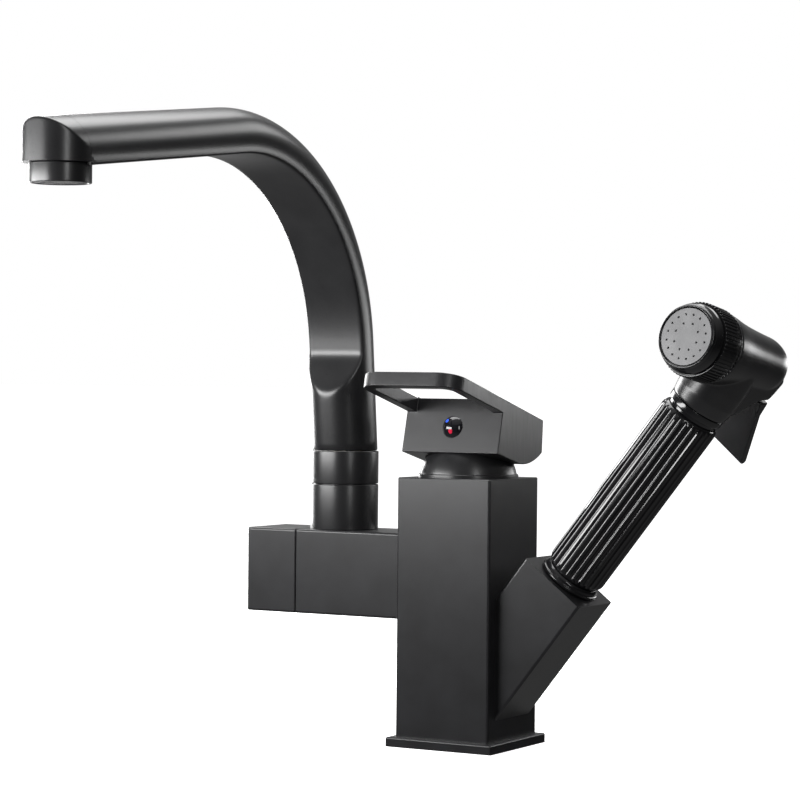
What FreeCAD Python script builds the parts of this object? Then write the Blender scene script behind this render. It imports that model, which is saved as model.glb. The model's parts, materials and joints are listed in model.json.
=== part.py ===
import FreeCAD, Part
import math
import os

from FreeCAD import Placement, Rotation, Vector

# A deck-mounted single-lever tap with a swivel spout on a side arm, a diverter knob at the arm's
# end, and a trigger hand spray that lifts out of a slanted dock. Millimetres, +Z up, the origin
# at the centre of the base plate's underside, -Y towards the sink.

os.makedirs("parts", exist_ok=True)

X_AXIS = Vector(1, 0, 0)
Y_AXIS = Vector(0, 1, 0)
Z_AXIS = Vector(0, 0, 1)
ORIGIN = Vector(0, 0, 0)

# --- driving dimensions -------------------------------------------------------------------
# base and column
PLATE_W = 57.0
PLATE_T = 4.5
COLUMN_W = 50.0
COLUMN_TOP = 128.5
EDGE_R = 1.2
FOOT_TOP = 20.0
MANIFOLD_BOTTOM = 70.0
WALL = 3.0
STUD_Y = 15.5
STUD_R = 3.4
INLET_X = 8.5
INLET_R = 4.5
INLET_DEPTH = 9.0

# arm, diverter and spout socket
ARM_LOW = 60.0
ARM_HIGH = 101.3
ARM_DEPTH = 36.0
ARM_END = -86.2
KNOB_GAP = 0.4
KNOB_END = -114.3
ARM_MID = (ARM_LOW + ARM_HIGH) / 2
SPOUT_X = -69.4
COLLAR_R = 16.7
COLLAR_TOP = 123.4
RING_LOW = 123.8
RING_TOP = 139.8
SWIVEL_R = 10.5
RUNNING = 0.05

# spout
TUBE_R = 16.1
TUBE_WALL = 2.0
TUBE_FLAT = 5.4
TUBE_CORNER = 2.2
TUBE_LOW = 140.1
SPOUT_LEAN = 5.4
LEAN_FROM_Z = 141.0
FLAT_START = 38.0
FLAT_FULL = 13.0
BEND_Z = 183.7
BEND_R = 99.3
SPOUT_DROP = 6.7
REACH = 233.3
NOSE_R = 16.9
NOSE_LOW = 264.5
AERATOR_LOW = 256.0
AERATOR_R = 13.3

# cartridge and lever
POCKET_R = 20.3
POCKET_FLOOR = 88.0
PIVOT_Z = 126.0
DOME_R = 23.6
DOME_RIM_R = 24.0
DOME_RIM_TOP = 130.2
DOME_HOLE_R = 16.0
DOME_WALL = 1.7
LEVER_TILT = 14.25
LEVER_HALF_W = 26.0
LEVER_TOP = 36.0
LEVER_BOTTOM = 9.9
LEVER_FRONT_BOTTOM = 9.4
LEVER_FRONT = 22.5
LEVER_BACK = -19.7
LEVER_POCKET_R = 24.1
LEVER_HEEL_R = 24.7
LOOP_FRONT = 72.8
LOOP_LOW = 29.3
LOOP_BAR_W = 5.3
LOOP_FRONT_W = 5.8
LOOP_CORNER_R = 10.5
LOOP_INNER_R = 5.0
STEM_LEAN = -6.0
STEM_TIP = 20.0
STEM_TOP = 31.0
STEM_W = 7.0
BUTTON_H = 22.0
BUTTON_R = 5.4

# dock and hand spray
DOCK_LEAN = 38.0
DOCK_MOUTH = Vector(54.3, 0, 81.2)
DOCK_SECTION = 35.5
DOCK_DEPTH = 36.0
SOCKET_R = 13.2
SOCKET_DEPTH = 24.0
HOSE_BORE_R = 8.5
SPRAY_TURN = -13.8
COLLAR_LIP_R = 15.0
GRIP_LOW = 4.4
GRIP_HIGH = 101.0
GRIP_R = 14.6
GRIP_CORE_R = 13.1
FLUTES = 28
NECK_TOP = 106.3
NOZZLE_T = 135.06
NOZZLE_TILT = 3.0
FACE_OUT = 42.3
FACE_R = 13.0
KNURL_LOW = 22.1
KNURL_HIGH = 35.8
KNURL_R = 17.4
KNURLS = 60
KNURL_ROOT_R = KNURL_R - 0.55
GROOVE_W = 0.84
HEAD_BACK = 31.5
PLUNGER_T = 117.0
TRIGGER_PIN_Y = 25.2
TRIGGER_PIN_T = 124.5
TRIGGER_HALF_W = 11.8
TRIGGER_PIN_R = 1.25

LEVER_FRAME = Placement(Vector(0, 0, PIVOT_Z), Rotation(X_AXIS, -LEVER_TILT))
STEM_FRAME = Placement(Vector(0, 0, PIVOT_Z), Rotation(X_AXIS, -STEM_LEAN))
DOCK_FRAME = Placement(DOCK_MOUTH, Rotation(Y_AXIS, DOCK_LEAN))
SPRAY_FRAME = DOCK_FRAME.multiply(Placement(ORIGIN, Rotation(Z_AXIS, SPRAY_TURN)))
NOZZLE_FRAME = SPRAY_FRAME.multiply(
    Placement(Vector(0, 0, NOZZLE_T), Rotation(X_AXIS, 90 - NOZZLE_TILT))
)


# --- small helpers ------------------------------------------------------------------------
def save(name, shape):
    """Write one node as a clean STEP file."""
    shape = shape.removeSplitter()
    shape.exportStep("parts/" + name + ".step")


def box(x0, x1, y0, y1, z0, z1):
    """A box between two corners."""
    return Part.makeBox(x1 - x0, y1 - y0, z1 - z0, Vector(x0, y0, z0))


def rod(radius, start, direction, length):
    """A round bar from a point, along a direction."""
    return Part.makeCylinder(radius, length, start, direction)


def upright(radius, low, high, x=0.0, y=0.0):
    """A round bar along Z."""
    return rod(radius, Vector(x, y, low), Z_AXIS, high - low)


def ring(outer, inner, low, high, x=0.0, y=0.0):
    """A flat ring or a tube along Z."""
    return upright(outer, low, high, x, y).cut(upright(inner, low, high, x, y))


def x_rod(radius, x0, x1, y=0.0, z=0.0):
    """A round bar along X."""
    return rod(radius, Vector(x0, y, z), X_AXIS, x1 - x0)


def x_ring(outer, inner, x0, x1):
    """A ring about the arm's own axis."""
    return x_rod(outer, x0, x1, 0, ARM_MID).cut(x_rod(inner, x0, x1, 0, ARM_MID))


def turned(points):
    """A solid of revolution about Z from (radius, height) points."""
    wire = Part.makePolygon([Vector(r, 0, z) for r, z in points + points[:1]])
    return Part.Face(wire).revolve(ORIGIN, Z_AXIS, 360)


def side_prism(points, half_width, x=0.0):
    """A (Y, Z) outline pushed out along X, symmetric about x."""
    wire = Part.makePolygon([Vector(x - half_width, y, z) for y, z in points + points[:1]])
    return Part.Face(wire).extrude(Vector(2 * half_width, 0, 0))


def placed(shape, frame):
    """A copy of a shape moved into a frame."""
    moved = shape.copy()
    moved.Placement = frame.multiply(moved.Placement)
    return moved


def edges_along(shape, direction, keep):
    """Straight edges that run along a direction and pass a test on their middle."""
    chosen = []
    for edge in shape.Edges:
        if not isinstance(edge.Curve, Part.Line):
            continue
        if abs(edge.Curve.Direction.dot(direction)) < 0.999:
            continue
        if keep(edge.CenterOfMass):
            chosen.append(edge)
    return chosen


def everywhere(_):
    """A test that every edge passes."""
    return True


def soften(shape, radius, direction, keep=everywhere):
    """Round the straight edges that run along a direction."""
    return shape.makeFillet(radius, edges_along(shape, direction, keep))


def soft_box(x0, x1, y0, y1, z0, z1, radius):
    """A box with every edge a little rounded."""
    block = box(x0, x1, y0, y1, z0, z1)
    return block.makeFillet(radius, block.Edges)


# --- base and column ----------------------------------------------------------------------
GASKET_OUT_R = 25.5
GASKET_IN_R = 21.5
GASKET_T = 1.5
PLATE_BORE_R = 19.2


def base_plate():
    half = PLATE_W / 2
    plate = soft_box(-half, half, -half, half, -1.0, PLATE_T, 0.8)
    plate = plate.common(box(-half, half, -half, half, 0, PLATE_T))
    plate = plate.cut(upright(PLATE_BORE_R, 0, PLATE_T))
    return plate.cut(ring(GASKET_OUT_R, GASKET_IN_R, 0, GASKET_T))


def base_gasket():
    return ring(GASKET_OUT_R, GASKET_IN_R, 0, GASKET_T)


SLOT_HALF_X = 17.0
SLOT_HALF_Y = 10.0
NUT_THREAD_R = 21.3
NUT_THREAD_LOW = 116.0
PORT_R = 3.5
OUTLET_R = 2.2
NIPPLE_R = 7.0
NIPPLE_BORE_R = 5.0
NIPPLE_IN = -15.5
NIPPLE_OUT = -36.0
NIPPLE_GROOVES = (-21.0, -30.0)
GROOVE_HALF = 1.0
GROOVE_DEPTH = 1.2
OUTLET_X = NIPPLE_IN + 1.0
EDGE_CHAMFER = 0.4
DOCK_HOLE_R = 9.5
DOCK_SCREW_Y = 12.0
DOCK_SCREW_Z = (32.0, 62.0)
DOCK_SCREW_R = 2.0
SCREW_HEAD_R = 3.6
SCREW_HEAD_T = 2.4


def body_column():
    half = COLUMN_W / 2
    column = box(-half, half, -half, half, PLATE_T, COLUMN_TOP)
    column = soften(column, EDGE_R, Z_AXIS)
    top = [e for e in column.Edges if e.CenterOfMass.z > COLUMN_TOP - 0.01]
    column = column.makeChamfer(EDGE_CHAMFER, top)
    inner = half - WALL
    column = column.cut(box(-inner, inner, -inner, inner, FOOT_TOP, MANIFOLD_BOTTOM))
    column = column.cut(box(-SLOT_HALF_X, SLOT_HALF_X, -SLOT_HALF_Y, SLOT_HALF_Y, 0, FOOT_TOP))
    for y in (-STUD_Y, STUD_Y):
        column = column.cut(upright(STUD_R, PLATE_T, FOOT_TOP, 0, y))
    for x in (-INLET_X, INLET_X):
        column = column.cut(upright(INLET_R, MANIFOLD_BOTTOM, MANIFOLD_BOTTOM + INLET_DEPTH, x))
        column = column.cut(upright(PORT_R, MANIFOLD_BOTTOM, POCKET_FLOOR, x))
    column = column.cut(upright(POCKET_R, POCKET_FLOOR, COLUMN_TOP))
    column = column.cut(upright(NUT_THREAD_R, NUT_THREAD_LOW, COLUMN_TOP))
    column = column.cut(x_rod(NIPPLE_R, -half, NIPPLE_IN, 0, ARM_MID))
    column = column.cut(upright(OUTLET_R, ARM_MID, POCKET_FLOOR, OUTLET_X))
    column = column.cut(x_rod(PORT_R, NIPPLE_IN, OUTLET_X + 0.5, 0, ARM_MID))
    hose_way = placed(upright(DOCK_HOLE_R, -90, 0), DOCK_FRAME)
    column = column.cut(hose_way.common(box(inner - 1, half + 1, -half, half, 0, COLUMN_TOP)))
    for y in (-DOCK_SCREW_Y, DOCK_SCREW_Y):
        for z in DOCK_SCREW_Z:
            column = column.cut(x_rod(DOCK_SCREW_R, inner, half, y, z))
    return column


# --- spray dock ---------------------------------------------------------------------------
DOCK_LENGTH = 110.0
LINER_R = 12.3
LINER_FLANGE_R = 14.2
LINER_FLANGE_T = 1.2
DOCK_SCREW_REACH = 9.0


def dock_block():
    across = DOCK_SECTION / 2
    deep = DOCK_DEPTH / 2
    block = box(-across, across, -deep, deep, -DOCK_LENGTH, 0)
    block = soften(block, EDGE_R, Z_AXIS)
    block = block.cut(upright(SOCKET_R, -SOCKET_DEPTH, 0))
    block = block.cut(upright(LINER_FLANGE_R, -LINER_FLANGE_T, 0))
    block = block.cut(upright(HOSE_BORE_R, -DOCK_LENGTH, 0))
    block = placed(block, DOCK_FRAME)
    half = COLUMN_W / 2
    block = block.common(box(half, 120, -deep, deep, 0, COLUMN_TOP))
    for y in (-DOCK_SCREW_Y, DOCK_SCREW_Y):
        for z in DOCK_SCREW_Z:
            block = block.cut(x_rod(DOCK_SCREW_R, half, half + DOCK_SCREW_REACH, y, z))
    return block


def dock_liner():
    sleeve = ring(SOCKET_R, LINER_R, -SOCKET_DEPTH, 0)
    flange = ring(LINER_FLANGE_R, LINER_R, -LINER_FLANGE_T, 0)
    floor = ring(SOCKET_R, HOSE_BORE_R, -SOCKET_DEPTH, -SOCKET_DEPTH + 1.0)
    return placed(sleeve.fuse([flange, floor]), DOCK_FRAME)


def dock_screws():
    inner = COLUMN_W / 2 - WALL
    screws = []
    for y in (-DOCK_SCREW_Y, DOCK_SCREW_Y):
        for z in DOCK_SCREW_Z:
            shank = x_rod(DOCK_SCREW_R, inner, inner + WALL + DOCK_SCREW_REACH - 1, y, z)
            head = x_rod(SCREW_HEAD_R, inner - SCREW_HEAD_T, inner, y, z)
            hexagon = x_rod(1.5, inner - SCREW_HEAD_T, inner - 1.0, y, z)
            screws.append(head.fuse(shank).cut(hexagon))
    return Part.makeCompound(screws)


# --- arm and diverter ---------------------------------------------------------------------
SPIGOT_R = 12.6
SPIGOT_LOW = 95.0
WELL_LOW = 92.0
SPOUT_PORT_R = 4.0
DIVERTER_R = 11.0
DIVERTER_DEEP = -58.0
SPINDLE_R = 4.0
SPINDLE_IN = -66.2
SPINDLE_OUT = -104.0
SPINDLE_FLAT = 2.8
HEADWORK_WALL = 1.6
SEAL_GROOVE = 2.0
SEAL_DEPTH = 1.4
GRUB_R = 2.5
GRUB_X = -98.5
HEX_R = 1.25
SNUG = 0.1
HEADWORK_IN = DIVERTER_DEEP - 6.0
SEAL_X = ARM_END + 6.0
FLAT_END = ARM_END - 6.0
DISC_T = 2.5
DISC_PORT_R = 2.0
DISC_PORT_Y = 5.0
TURNING_DISC_R = 8.8


def arm_block():
    half = COLUMN_W / 2
    deep = ARM_DEPTH / 2
    block = box(ARM_END, -half, -deep, deep, ARM_LOW, ARM_HIGH)
    block = soften(block, EDGE_R, X_AXIS)
    end_edges = [e for e in block.Edges if e.CenterOfMass.x < ARM_END + 0.01]
    block = block.makeChamfer(EDGE_CHAMFER, end_edges)
    block = block.cut(x_rod(NIPPLE_R, NIPPLE_OUT, -half, 0, ARM_MID))
    block = block.cut(x_rod(NIPPLE_BORE_R, DIVERTER_DEEP, -half, 0, ARM_MID))
    block = block.cut(x_rod(DIVERTER_R, ARM_END, DIVERTER_DEEP, 0, ARM_MID))
    block = block.cut(upright(SPOUT_PORT_R, ARM_MID, WELL_LOW, SPOUT_X))
    return block.cut(upright(SPIGOT_R, WELL_LOW, ARM_HIGH, SPOUT_X))


def arm_nipple():
    tube = x_rod(NIPPLE_R, NIPPLE_OUT, NIPPLE_IN, 0, ARM_MID)
    tube = tube.cut(x_rod(NIPPLE_BORE_R, NIPPLE_OUT, NIPPLE_IN, 0, ARM_MID))
    for x in NIPPLE_GROOVES:
        tube = tube.cut(x_ring(NIPPLE_R, NIPPLE_R - GROOVE_DEPTH, x - GROOVE_HALF, x + GROOVE_HALF))
    return tube


def arm_nipple_o_rings():
    rings = []
    half = GROOVE_HALF - SNUG
    for x in NIPPLE_GROOVES:
        rings.append(x_ring(NIPPLE_R, NIPPLE_R - GROOVE_DEPTH, x - half, x + half))
    return Part.makeCompound(rings)


def diverter_headwork():
    shell = x_rod(DIVERTER_R, ARM_END + 0.5, HEADWORK_IN, 0, ARM_MID)
    shell = shell.cut(x_rod(DIVERTER_R - HEADWORK_WALL, SPINDLE_IN, HEADWORK_IN, 0, ARM_MID))
    shell = shell.cut(x_rod(SPINDLE_R + RUNNING, ARM_END, SPINDLE_IN, 0, ARM_MID))
    shell = shell.cut(upright(SPOUT_PORT_R, ARM_MID, WELL_LOW, SPOUT_X))
    return shell.cut(x_ring(DIVERTER_R, DIVERTER_R - SEAL_DEPTH, SEAL_X, SEAL_X + SEAL_GROOVE))


def diverter_o_ring():
    high = SEAL_X + SEAL_GROOVE - SNUG
    return x_ring(DIVERTER_R, DIVERTER_R - SEAL_DEPTH, SEAL_X + SNUG, high)


def diverter_disc(x0, x1, radius, ports):
    """A ceramic disc across the arm, with its ports off centre."""
    disc = x_rod(radius, x0, x1, 0, ARM_MID)
    for y in ports:
        disc = disc.cut(x_rod(DISC_PORT_R, x0, x1, y, ARM_MID))
    return disc


def diverter_fixed_disc():
    ports = (-DISC_PORT_Y, DISC_PORT_Y)
    return diverter_disc(HEADWORK_IN, HEADWORK_IN + DISC_T, DIVERTER_R, ports)


def diverter_turning_disc():
    low = SPINDLE_IN + SNUG
    return diverter_disc(low, HEADWORK_IN - RUNNING, TURNING_DISC_R, (DISC_PORT_Y,))


def spindle_flat():
    """What is missing from the spindle along its outer end."""
    low = ARM_MID - SPINDLE_R
    return box(SPINDLE_OUT, FLAT_END, -SPINDLE_R, SPINDLE_R, low, ARM_MID - SPINDLE_FLAT)


def diverter_spindle():
    return x_rod(SPINDLE_R, SPINDLE_OUT, SPINDLE_IN, 0, ARM_MID).cut(spindle_flat())


def diverter_knob():
    deep = ARM_DEPTH / 2
    knob = box(KNOB_END, ARM_END - KNOB_GAP, -deep, deep, ARM_LOW, ARM_HIGH)
    knob = soften(knob, EDGE_R, X_AXIS)
    ends = [e for e in knob.Edges if abs(e.CenterOfMass.x - KNOB_END) < 0.01]
    ends += [e for e in knob.Edges if abs(e.CenterOfMass.x - ARM_END + KNOB_GAP) < 0.01]
    knob = knob.makeChamfer(EDGE_CHAMFER, ends)
    knob = knob.cut(x_rod(SPINDLE_R, SPINDLE_OUT, ARM_END, 0, ARM_MID).cut(spindle_flat()))
    return knob.cut(upright(GRUB_R, ARM_LOW, ARM_MID - SPINDLE_FLAT, GRUB_X))


def diverter_grub_screw():
    low = ARM_LOW + 8.0
    screw = upright(GRUB_R, low, ARM_MID - SPINDLE_FLAT, GRUB_X)
    return screw.cut(upright(HEX_R, low, low + 2.5, GRUB_X))


# --- spout swivel -------------------------------------------------------------------------
COLLAR_NECK_R = 13.2
COLLAR_NECK_TOP = 134.0
O_RING_HEIGHTS = (108.0, 115.0)
O_RING_GROOVE_R = 8.9
SWIVEL_BORE_R = 7.4
SWIVEL_LOW = 92.3
SWIVEL_HIGH = 154.0
CLIP_LOW = 93.2
CLIP_HIGH = 94.6
CLIP_GROOVE_R = 9.4
CLIP_R = 11.8
CLIP_GAP = 3.0
GROOVE_HALF_Z = 1.2
WASHER_LOW = 139.0
WASHER_R = 15.0
RIM_R = 0.4
FREE = 0.5


def spout_collar():
    body = upright(COLLAR_R, ARM_HIGH, COLLAR_TOP, SPOUT_X)
    rims = [e for e in body.Edges if isinstance(e.Curve, Part.Circle)]
    body = body.makeFillet(RIM_R, rims)
    body = body.fuse(upright(COLLAR_NECK_R, COLLAR_TOP - 2, COLLAR_NECK_TOP, SPOUT_X))
    body = body.fuse(upright(SPIGOT_R, SPIGOT_LOW, ARM_HIGH + 2, SPOUT_X))
    return body.cut(upright(SWIVEL_R + RUNNING, SPIGOT_LOW, COLLAR_NECK_TOP, SPOUT_X))


def spout_collar_ring():
    body = upright(COLLAR_R, RING_LOW, RING_TOP, SPOUT_X)
    rims = [e for e in body.Edges if isinstance(e.Curve, Part.Circle)]
    body = body.makeFillet(RIM_R, rims)
    body = body.cut(upright(COLLAR_NECK_R, RING_LOW, COLLAR_NECK_TOP, SPOUT_X))
    body = body.cut(upright(SWIVEL_R + FREE, RING_LOW, RING_TOP, SPOUT_X))
    return body.cut(upright(WASHER_R, WASHER_LOW, RING_TOP, SPOUT_X))


def swivel_slip_washer():
    return ring(WASHER_R, SWIVEL_R + FREE, WASHER_LOW, RING_TOP + SNUG, SPOUT_X)


def spout_swivel_tube():
    tube = ring(SWIVEL_R, SWIVEL_BORE_R, SWIVEL_LOW, SWIVEL_HIGH, SPOUT_X)
    for z in O_RING_HEIGHTS:
        low = z - GROOVE_HALF_Z
        tube = tube.cut(ring(SWIVEL_R, O_RING_GROOVE_R, low, z + GROOVE_HALF_Z, SPOUT_X))
    return tube.cut(ring(SWIVEL_R, CLIP_GROOVE_R, CLIP_LOW, CLIP_HIGH, SPOUT_X))


def swivel_o_rings():
    rings = []
    half = GROOVE_HALF_Z - SNUG
    for z in O_RING_HEIGHTS:
        rings.append(ring(SWIVEL_R, O_RING_GROOVE_R, z - half, z + half, SPOUT_X))
    return Part.makeCompound(rings)


def swivel_clip():
    clip = ring(CLIP_R, CLIP_GROOVE_R, CLIP_LOW, CLIP_HIGH, SPOUT_X)
    return clip.cut(box(SPOUT_X - CLIP_GAP, SPOUT_X + CLIP_GAP, -CLIP_R, 0, CLIP_LOW, CLIP_HIGH))


# --- spout --------------------------------------------------------------------------------
def flattened_circle(radius, flat, corner):
    """A circle in XY cut by a flat on its -Y side, with the two corners rounded."""
    centre_y = -flat + corner
    centre_x = math.sqrt((radius - corner) ** 2 - centre_y ** 2)
    touch = radius / (radius - corner)
    right_flat = Vector(centre_x, -flat, 0)
    left_flat = Vector(-centre_x, -flat, 0)
    right_round = Vector(centre_x * touch, centre_y * touch, 0)
    left_round = Vector(-centre_x * touch, centre_y * touch, 0)
    turn = math.atan2(right_round.y, right_round.x)
    middle = (turn - math.pi / 2) / 2
    right_mid = Vector(centre_x + corner * math.cos(middle), centre_y + corner * math.sin(middle), 0)
    left_mid = Vector(-right_mid.x, right_mid.y, 0)
    edges = [
        Part.Arc(right_round, Vector(0, radius, 0), left_round).toShape(),
        Part.Arc(left_round, left_mid, left_flat).toShape(),
        Part.LineSegment(left_flat, right_flat).toShape(),
        Part.Arc(right_flat, right_mid, right_round).toShape(),
    ]
    return Part.Face(Part.Wire(edges))


BEND_TURN = 90.0 + SPOUT_DROP
RUN_DIRECTION = Vector(
    0, -math.cos(math.radians(SPOUT_DROP)), -math.sin(math.radians(SPOUT_DROP))
)
LEAN = math.radians(SPOUT_LEAN)
LEAN_RISE = BEND_Z + BEND_R * math.sin(LEAN) - LEAN_FROM_Z
BEND_Y = -BEND_R * math.cos(LEAN) - LEAN_RISE * math.tan(LEAN)
BEND_CENTRE = Vector(SPOUT_X, BEND_Y, BEND_Z)


def run_start():
    """The centreline's point where the bend ends and the straight run begins."""
    turn = math.radians(BEND_TURN)
    return BEND_CENTRE + Vector(0, BEND_R * math.cos(turn), BEND_R * math.sin(turn))


def bent_tube(radius, flat, corner, low, run_length):
    """The leaning foot, the bend and the straight run of a flattened tube."""
    axis_y = BEND_Y + BEND_R
    section = flattened_circle(radius, flat, corner)
    section.translate(Vector(SPOUT_X, axis_y, BEND_Z))
    near = section.copy()
    near.rotate(BEND_CENTRE, X_AXIS, SPOUT_LEAN)
    bend = near.revolve(BEND_CENTRE, X_AXIS, BEND_TURN - SPOUT_LEAN)
    far = section.copy()
    far.rotate(BEND_CENTRE, X_AXIS, BEND_TURN)
    run = far.extrude(RUN_DIRECTION * run_length)
    straight = section.extrude(Vector(0, 0, -FLAT_FULL))
    foot = upright(radius, BEND_Z - BEND_R, BEND_Z - FLAT_FULL, SPOUT_X, axis_y)
    beyond = 2 * radius
    ramp = [
        (axis_y - flat, BEND_Z - FLAT_FULL),
        (axis_y - radius - 0.5, BEND_Z - FLAT_START),
        (axis_y - beyond, BEND_Z - FLAT_START),
        (axis_y - beyond, BEND_Z),
        (axis_y - flat, BEND_Z),
    ]
    foot = foot.cut(side_prism(ramp, beyond, SPOUT_X)).fuse(straight)
    foot.rotate(BEND_CENTRE, X_AXIS, SPOUT_LEAN)
    below = box(SPOUT_X - beyond, SPOUT_X + beyond, -beyond, beyond, 0, low)
    return foot.cut(below).fuse([bend, run])


def run_length():
    """From the bend's end to the nose's axis, along the run."""
    return (REACH + run_start().y) / math.cos(math.radians(SPOUT_DROP))


NOSE_CLEAR_TOP = 320.0
NOSE_BORE_R = 11.0
NOSE_BORE_TOP = 283.0
THREAD_R = AERATOR_R - 0.85
THREAD_TOP = 270.0
FEED_R = 5.0
FEED_LENGTH = 22.0


def nose_outline():
    """The nose's round bar, up to the run's arched top."""
    end = run_start() - Vector(0, 0, NOSE_R - TUBE_R)
    ahead = run_length() + 2 * NOSE_R
    arch = rod(NOSE_R, end, RUN_DIRECTION, ahead)
    drop = Vector(0, 0, NOSE_LOW - BEND_Z - BEND_R)
    across = Part.makePolygon(
        [
            end + Vector(-NOSE_R, 0, 0),
            end + Vector(NOSE_R, 0, 0),
            end + Vector(NOSE_R, 0, 0) + drop,
            end + Vector(-NOSE_R, 0, 0) + drop,
            end + Vector(-NOSE_R, 0, 0),
        ]
    )
    below = Part.Face(across).extrude(RUN_DIRECTION * ahead)
    bar = upright(NOSE_R, NOSE_LOW, NOSE_CLEAR_TOP, SPOUT_X, -REACH)
    return bar.common(arch.fuse(below))


def spout_tube():
    length = run_length()
    outer = bent_tube(TUBE_R, TUBE_FLAT, TUBE_CORNER, TUBE_LOW, length - 1.0)
    inner_r = TUBE_R - TUBE_WALL
    inner_flat = TUBE_FLAT - TUBE_WALL
    tube = outer.cut(bent_tube(inner_r, inner_flat, TUBE_CORNER - 1.0, SWIVEL_HIGH, length))
    tube = tube.cut(upright(SWIVEL_R, TUBE_LOW, SWIVEL_HIGH, SPOUT_X))
    return tube.cut(upright(NOSE_R, AERATOR_LOW, NOSE_CLEAR_TOP, SPOUT_X, -REACH))


def spout_nose():
    nose = nose_outline()
    nose = nose.cut(upright(THREAD_R, NOSE_LOW, THREAD_TOP, SPOUT_X, -REACH))
    nose = nose.cut(upright(NOSE_BORE_R, THREAD_TOP, NOSE_BORE_TOP, SPOUT_X, -REACH))
    feed_start = run_start() + RUN_DIRECTION * (run_length() - FEED_LENGTH)
    return nose.cut(rod(FEED_R, feed_start, RUN_DIRECTION, FEED_LENGTH))


LINER_BORE_R = 10.2
LIP_R = 9.2
LIP_LOW = AERATOR_LOW + 0.3
LIP_TOP = AERATOR_LOW + 1.3
CELL_R = 2.2
CELL_AT = 6.4
CELL_DEPTH = 4.7
CELLS = 6


def aerator_housing():
    shell = upright(AERATOR_R, AERATOR_LOW, NOSE_LOW - 0.2, SPOUT_X, -REACH)
    rims = [e for e in shell.Edges if isinstance(e.Curve, Part.Circle)]
    shell = shell.makeFillet(0.5, rims)
    shell = shell.fuse(upright(THREAD_R, NOSE_LOW - 1, THREAD_TOP - 1, SPOUT_X, -REACH))
    shell = shell.cut(upright(LINER_BORE_R, AERATOR_LOW, THREAD_TOP, SPOUT_X, -REACH))
    return shell.fuse(ring(LINER_BORE_R + SNUG, LIP_R, LIP_LOW, LIP_TOP, SPOUT_X, -REACH))


def aerator_insert():
    core = upright(LINER_BORE_R, LIP_TOP, THREAD_TOP - 1.5, SPOUT_X, -REACH)
    for k in range(CELLS):
        turn = 2 * math.pi * k / CELLS
        x = SPOUT_X + CELL_AT * math.cos(turn)
        y = -REACH + CELL_AT * math.sin(turn)
        core = core.cut(upright(CELL_R, LIP_TOP, LIP_TOP + CELL_DEPTH, x, y))
    return core


def aerator_gasket():
    return ring(THREAD_R - SNUG, LIP_R, THREAD_TOP - 1.0, THREAD_TOP, SPOUT_X, -REACH)


# --- cartridge ----------------------------------------------------------------------------
BASE_TOP = 93.0
FIXED_DISC_TOP = 96.0
MOVING_DISC_LOW = 96.05
MOVING_DISC_TOP = 99.0
CARRIER_TOP = 108.5
SEAL_TOP = POCKET_FLOOR + 1.0
CARTRIDGE_R = POCKET_R - 0.3
CHAMBER_IN_R = 17.8
CHAMBER_TOP = 114.5
SHELL_TOP = 117.5
SHELL_NECK_R = 16.0
SHELL_NECK_TOP = 128.0
MOVING_DISC_R = 10.5
MIXING_HOLLOW_R = 4.0
TURRET_R = 14.0
TURRET_FOOT_R = 16.5
TURRET_LOW = CARRIER_TOP + 0.8
TURRET_TOP = 130.5
SWING_Y = 10.0
PIN_R = 1.6
TIP_R = 3.5
SHANK_HALF = 2.2
SHANK_LOW = -12.0
NUT_BORE_R = 16.3
NUT_TOP = 133.0
NUT_NECK_R = 20.2
NUT_NOTCHES = 4
NOTCH_IN = 15.0
NOTCH_HALF = 1.6
NOTCH_DEPTH = 2.2


def ported_disc(radius, low, high):
    """A disc with the two inlet ports and the outlet port through it."""
    disc = upright(radius, low, high)
    for x in (-INLET_X, INLET_X):
        disc = disc.cut(upright(PORT_R, low, high, x))
    return disc.cut(upright(OUTLET_R, low, high, OUTLET_X))


def cartridge_seal():
    return ported_disc(CARTRIDGE_R, POCKET_FLOOR, SEAL_TOP)


def cartridge_base():
    return ported_disc(CARTRIDGE_R, SEAL_TOP, BASE_TOP)


def ceramic_fixed_disc():
    return ported_disc(CHAMBER_IN_R, BASE_TOP, FIXED_DISC_TOP)


def ceramic_moving_disc():
    disc = upright(MOVING_DISC_R, MOVING_DISC_LOW, MOVING_DISC_TOP)
    return disc.cut(upright(MIXING_HOLLOW_R, MOVING_DISC_LOW, MOVING_DISC_TOP - 1.2, 0, 3.0))


def disc_carrier():
    carrier = upright(MOVING_DISC_R, MOVING_DISC_TOP, CARRIER_TOP)
    half_x = TIP_R + 0.15
    half_y = TIP_R + 0.3
    low = PIVOT_Z - STEM_TIP - TIP_R - 0.8
    slot = box(-half_x, half_x, -half_y, half_y, low, CARRIER_TOP)
    slot.translate(Vector(0, stem_tip_y(), 0))
    return carrier.cut(slot)


def stem_tip_y():
    """Where the stem's ball tip stands at rest, fore and aft."""
    return -STEM_TIP * math.sin(math.radians(STEM_LEAN))


def cartridge_shell():
    shell = upright(CARTRIDGE_R, BASE_TOP, SHELL_TOP)
    shell = shell.fuse(upright(SHELL_NECK_R, SHELL_TOP - 1, SHELL_NECK_TOP))
    shell = shell.cut(upright(CHAMBER_IN_R, BASE_TOP, CHAMBER_TOP))
    return shell.cut(upright(TURRET_R + RUNNING, BASE_TOP, SHELL_NECK_TOP))


def cartridge_turret():
    turret = upright(TURRET_R, TURRET_LOW, TURRET_TOP)
    turret = turret.fuse(upright(TURRET_FOOT_R, TURRET_LOW, CHAMBER_TOP - 0.3))
    half = STEM_W / 2 + 0.2
    swing = box(-half, half, -SWING_Y, SWING_Y, TURRET_LOW, TURRET_TOP)
    turret = turret.cut(swing)
    return turret.cut(x_rod(PIN_R, -TURRET_R, TURRET_R, 0, PIVOT_Z))


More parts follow.
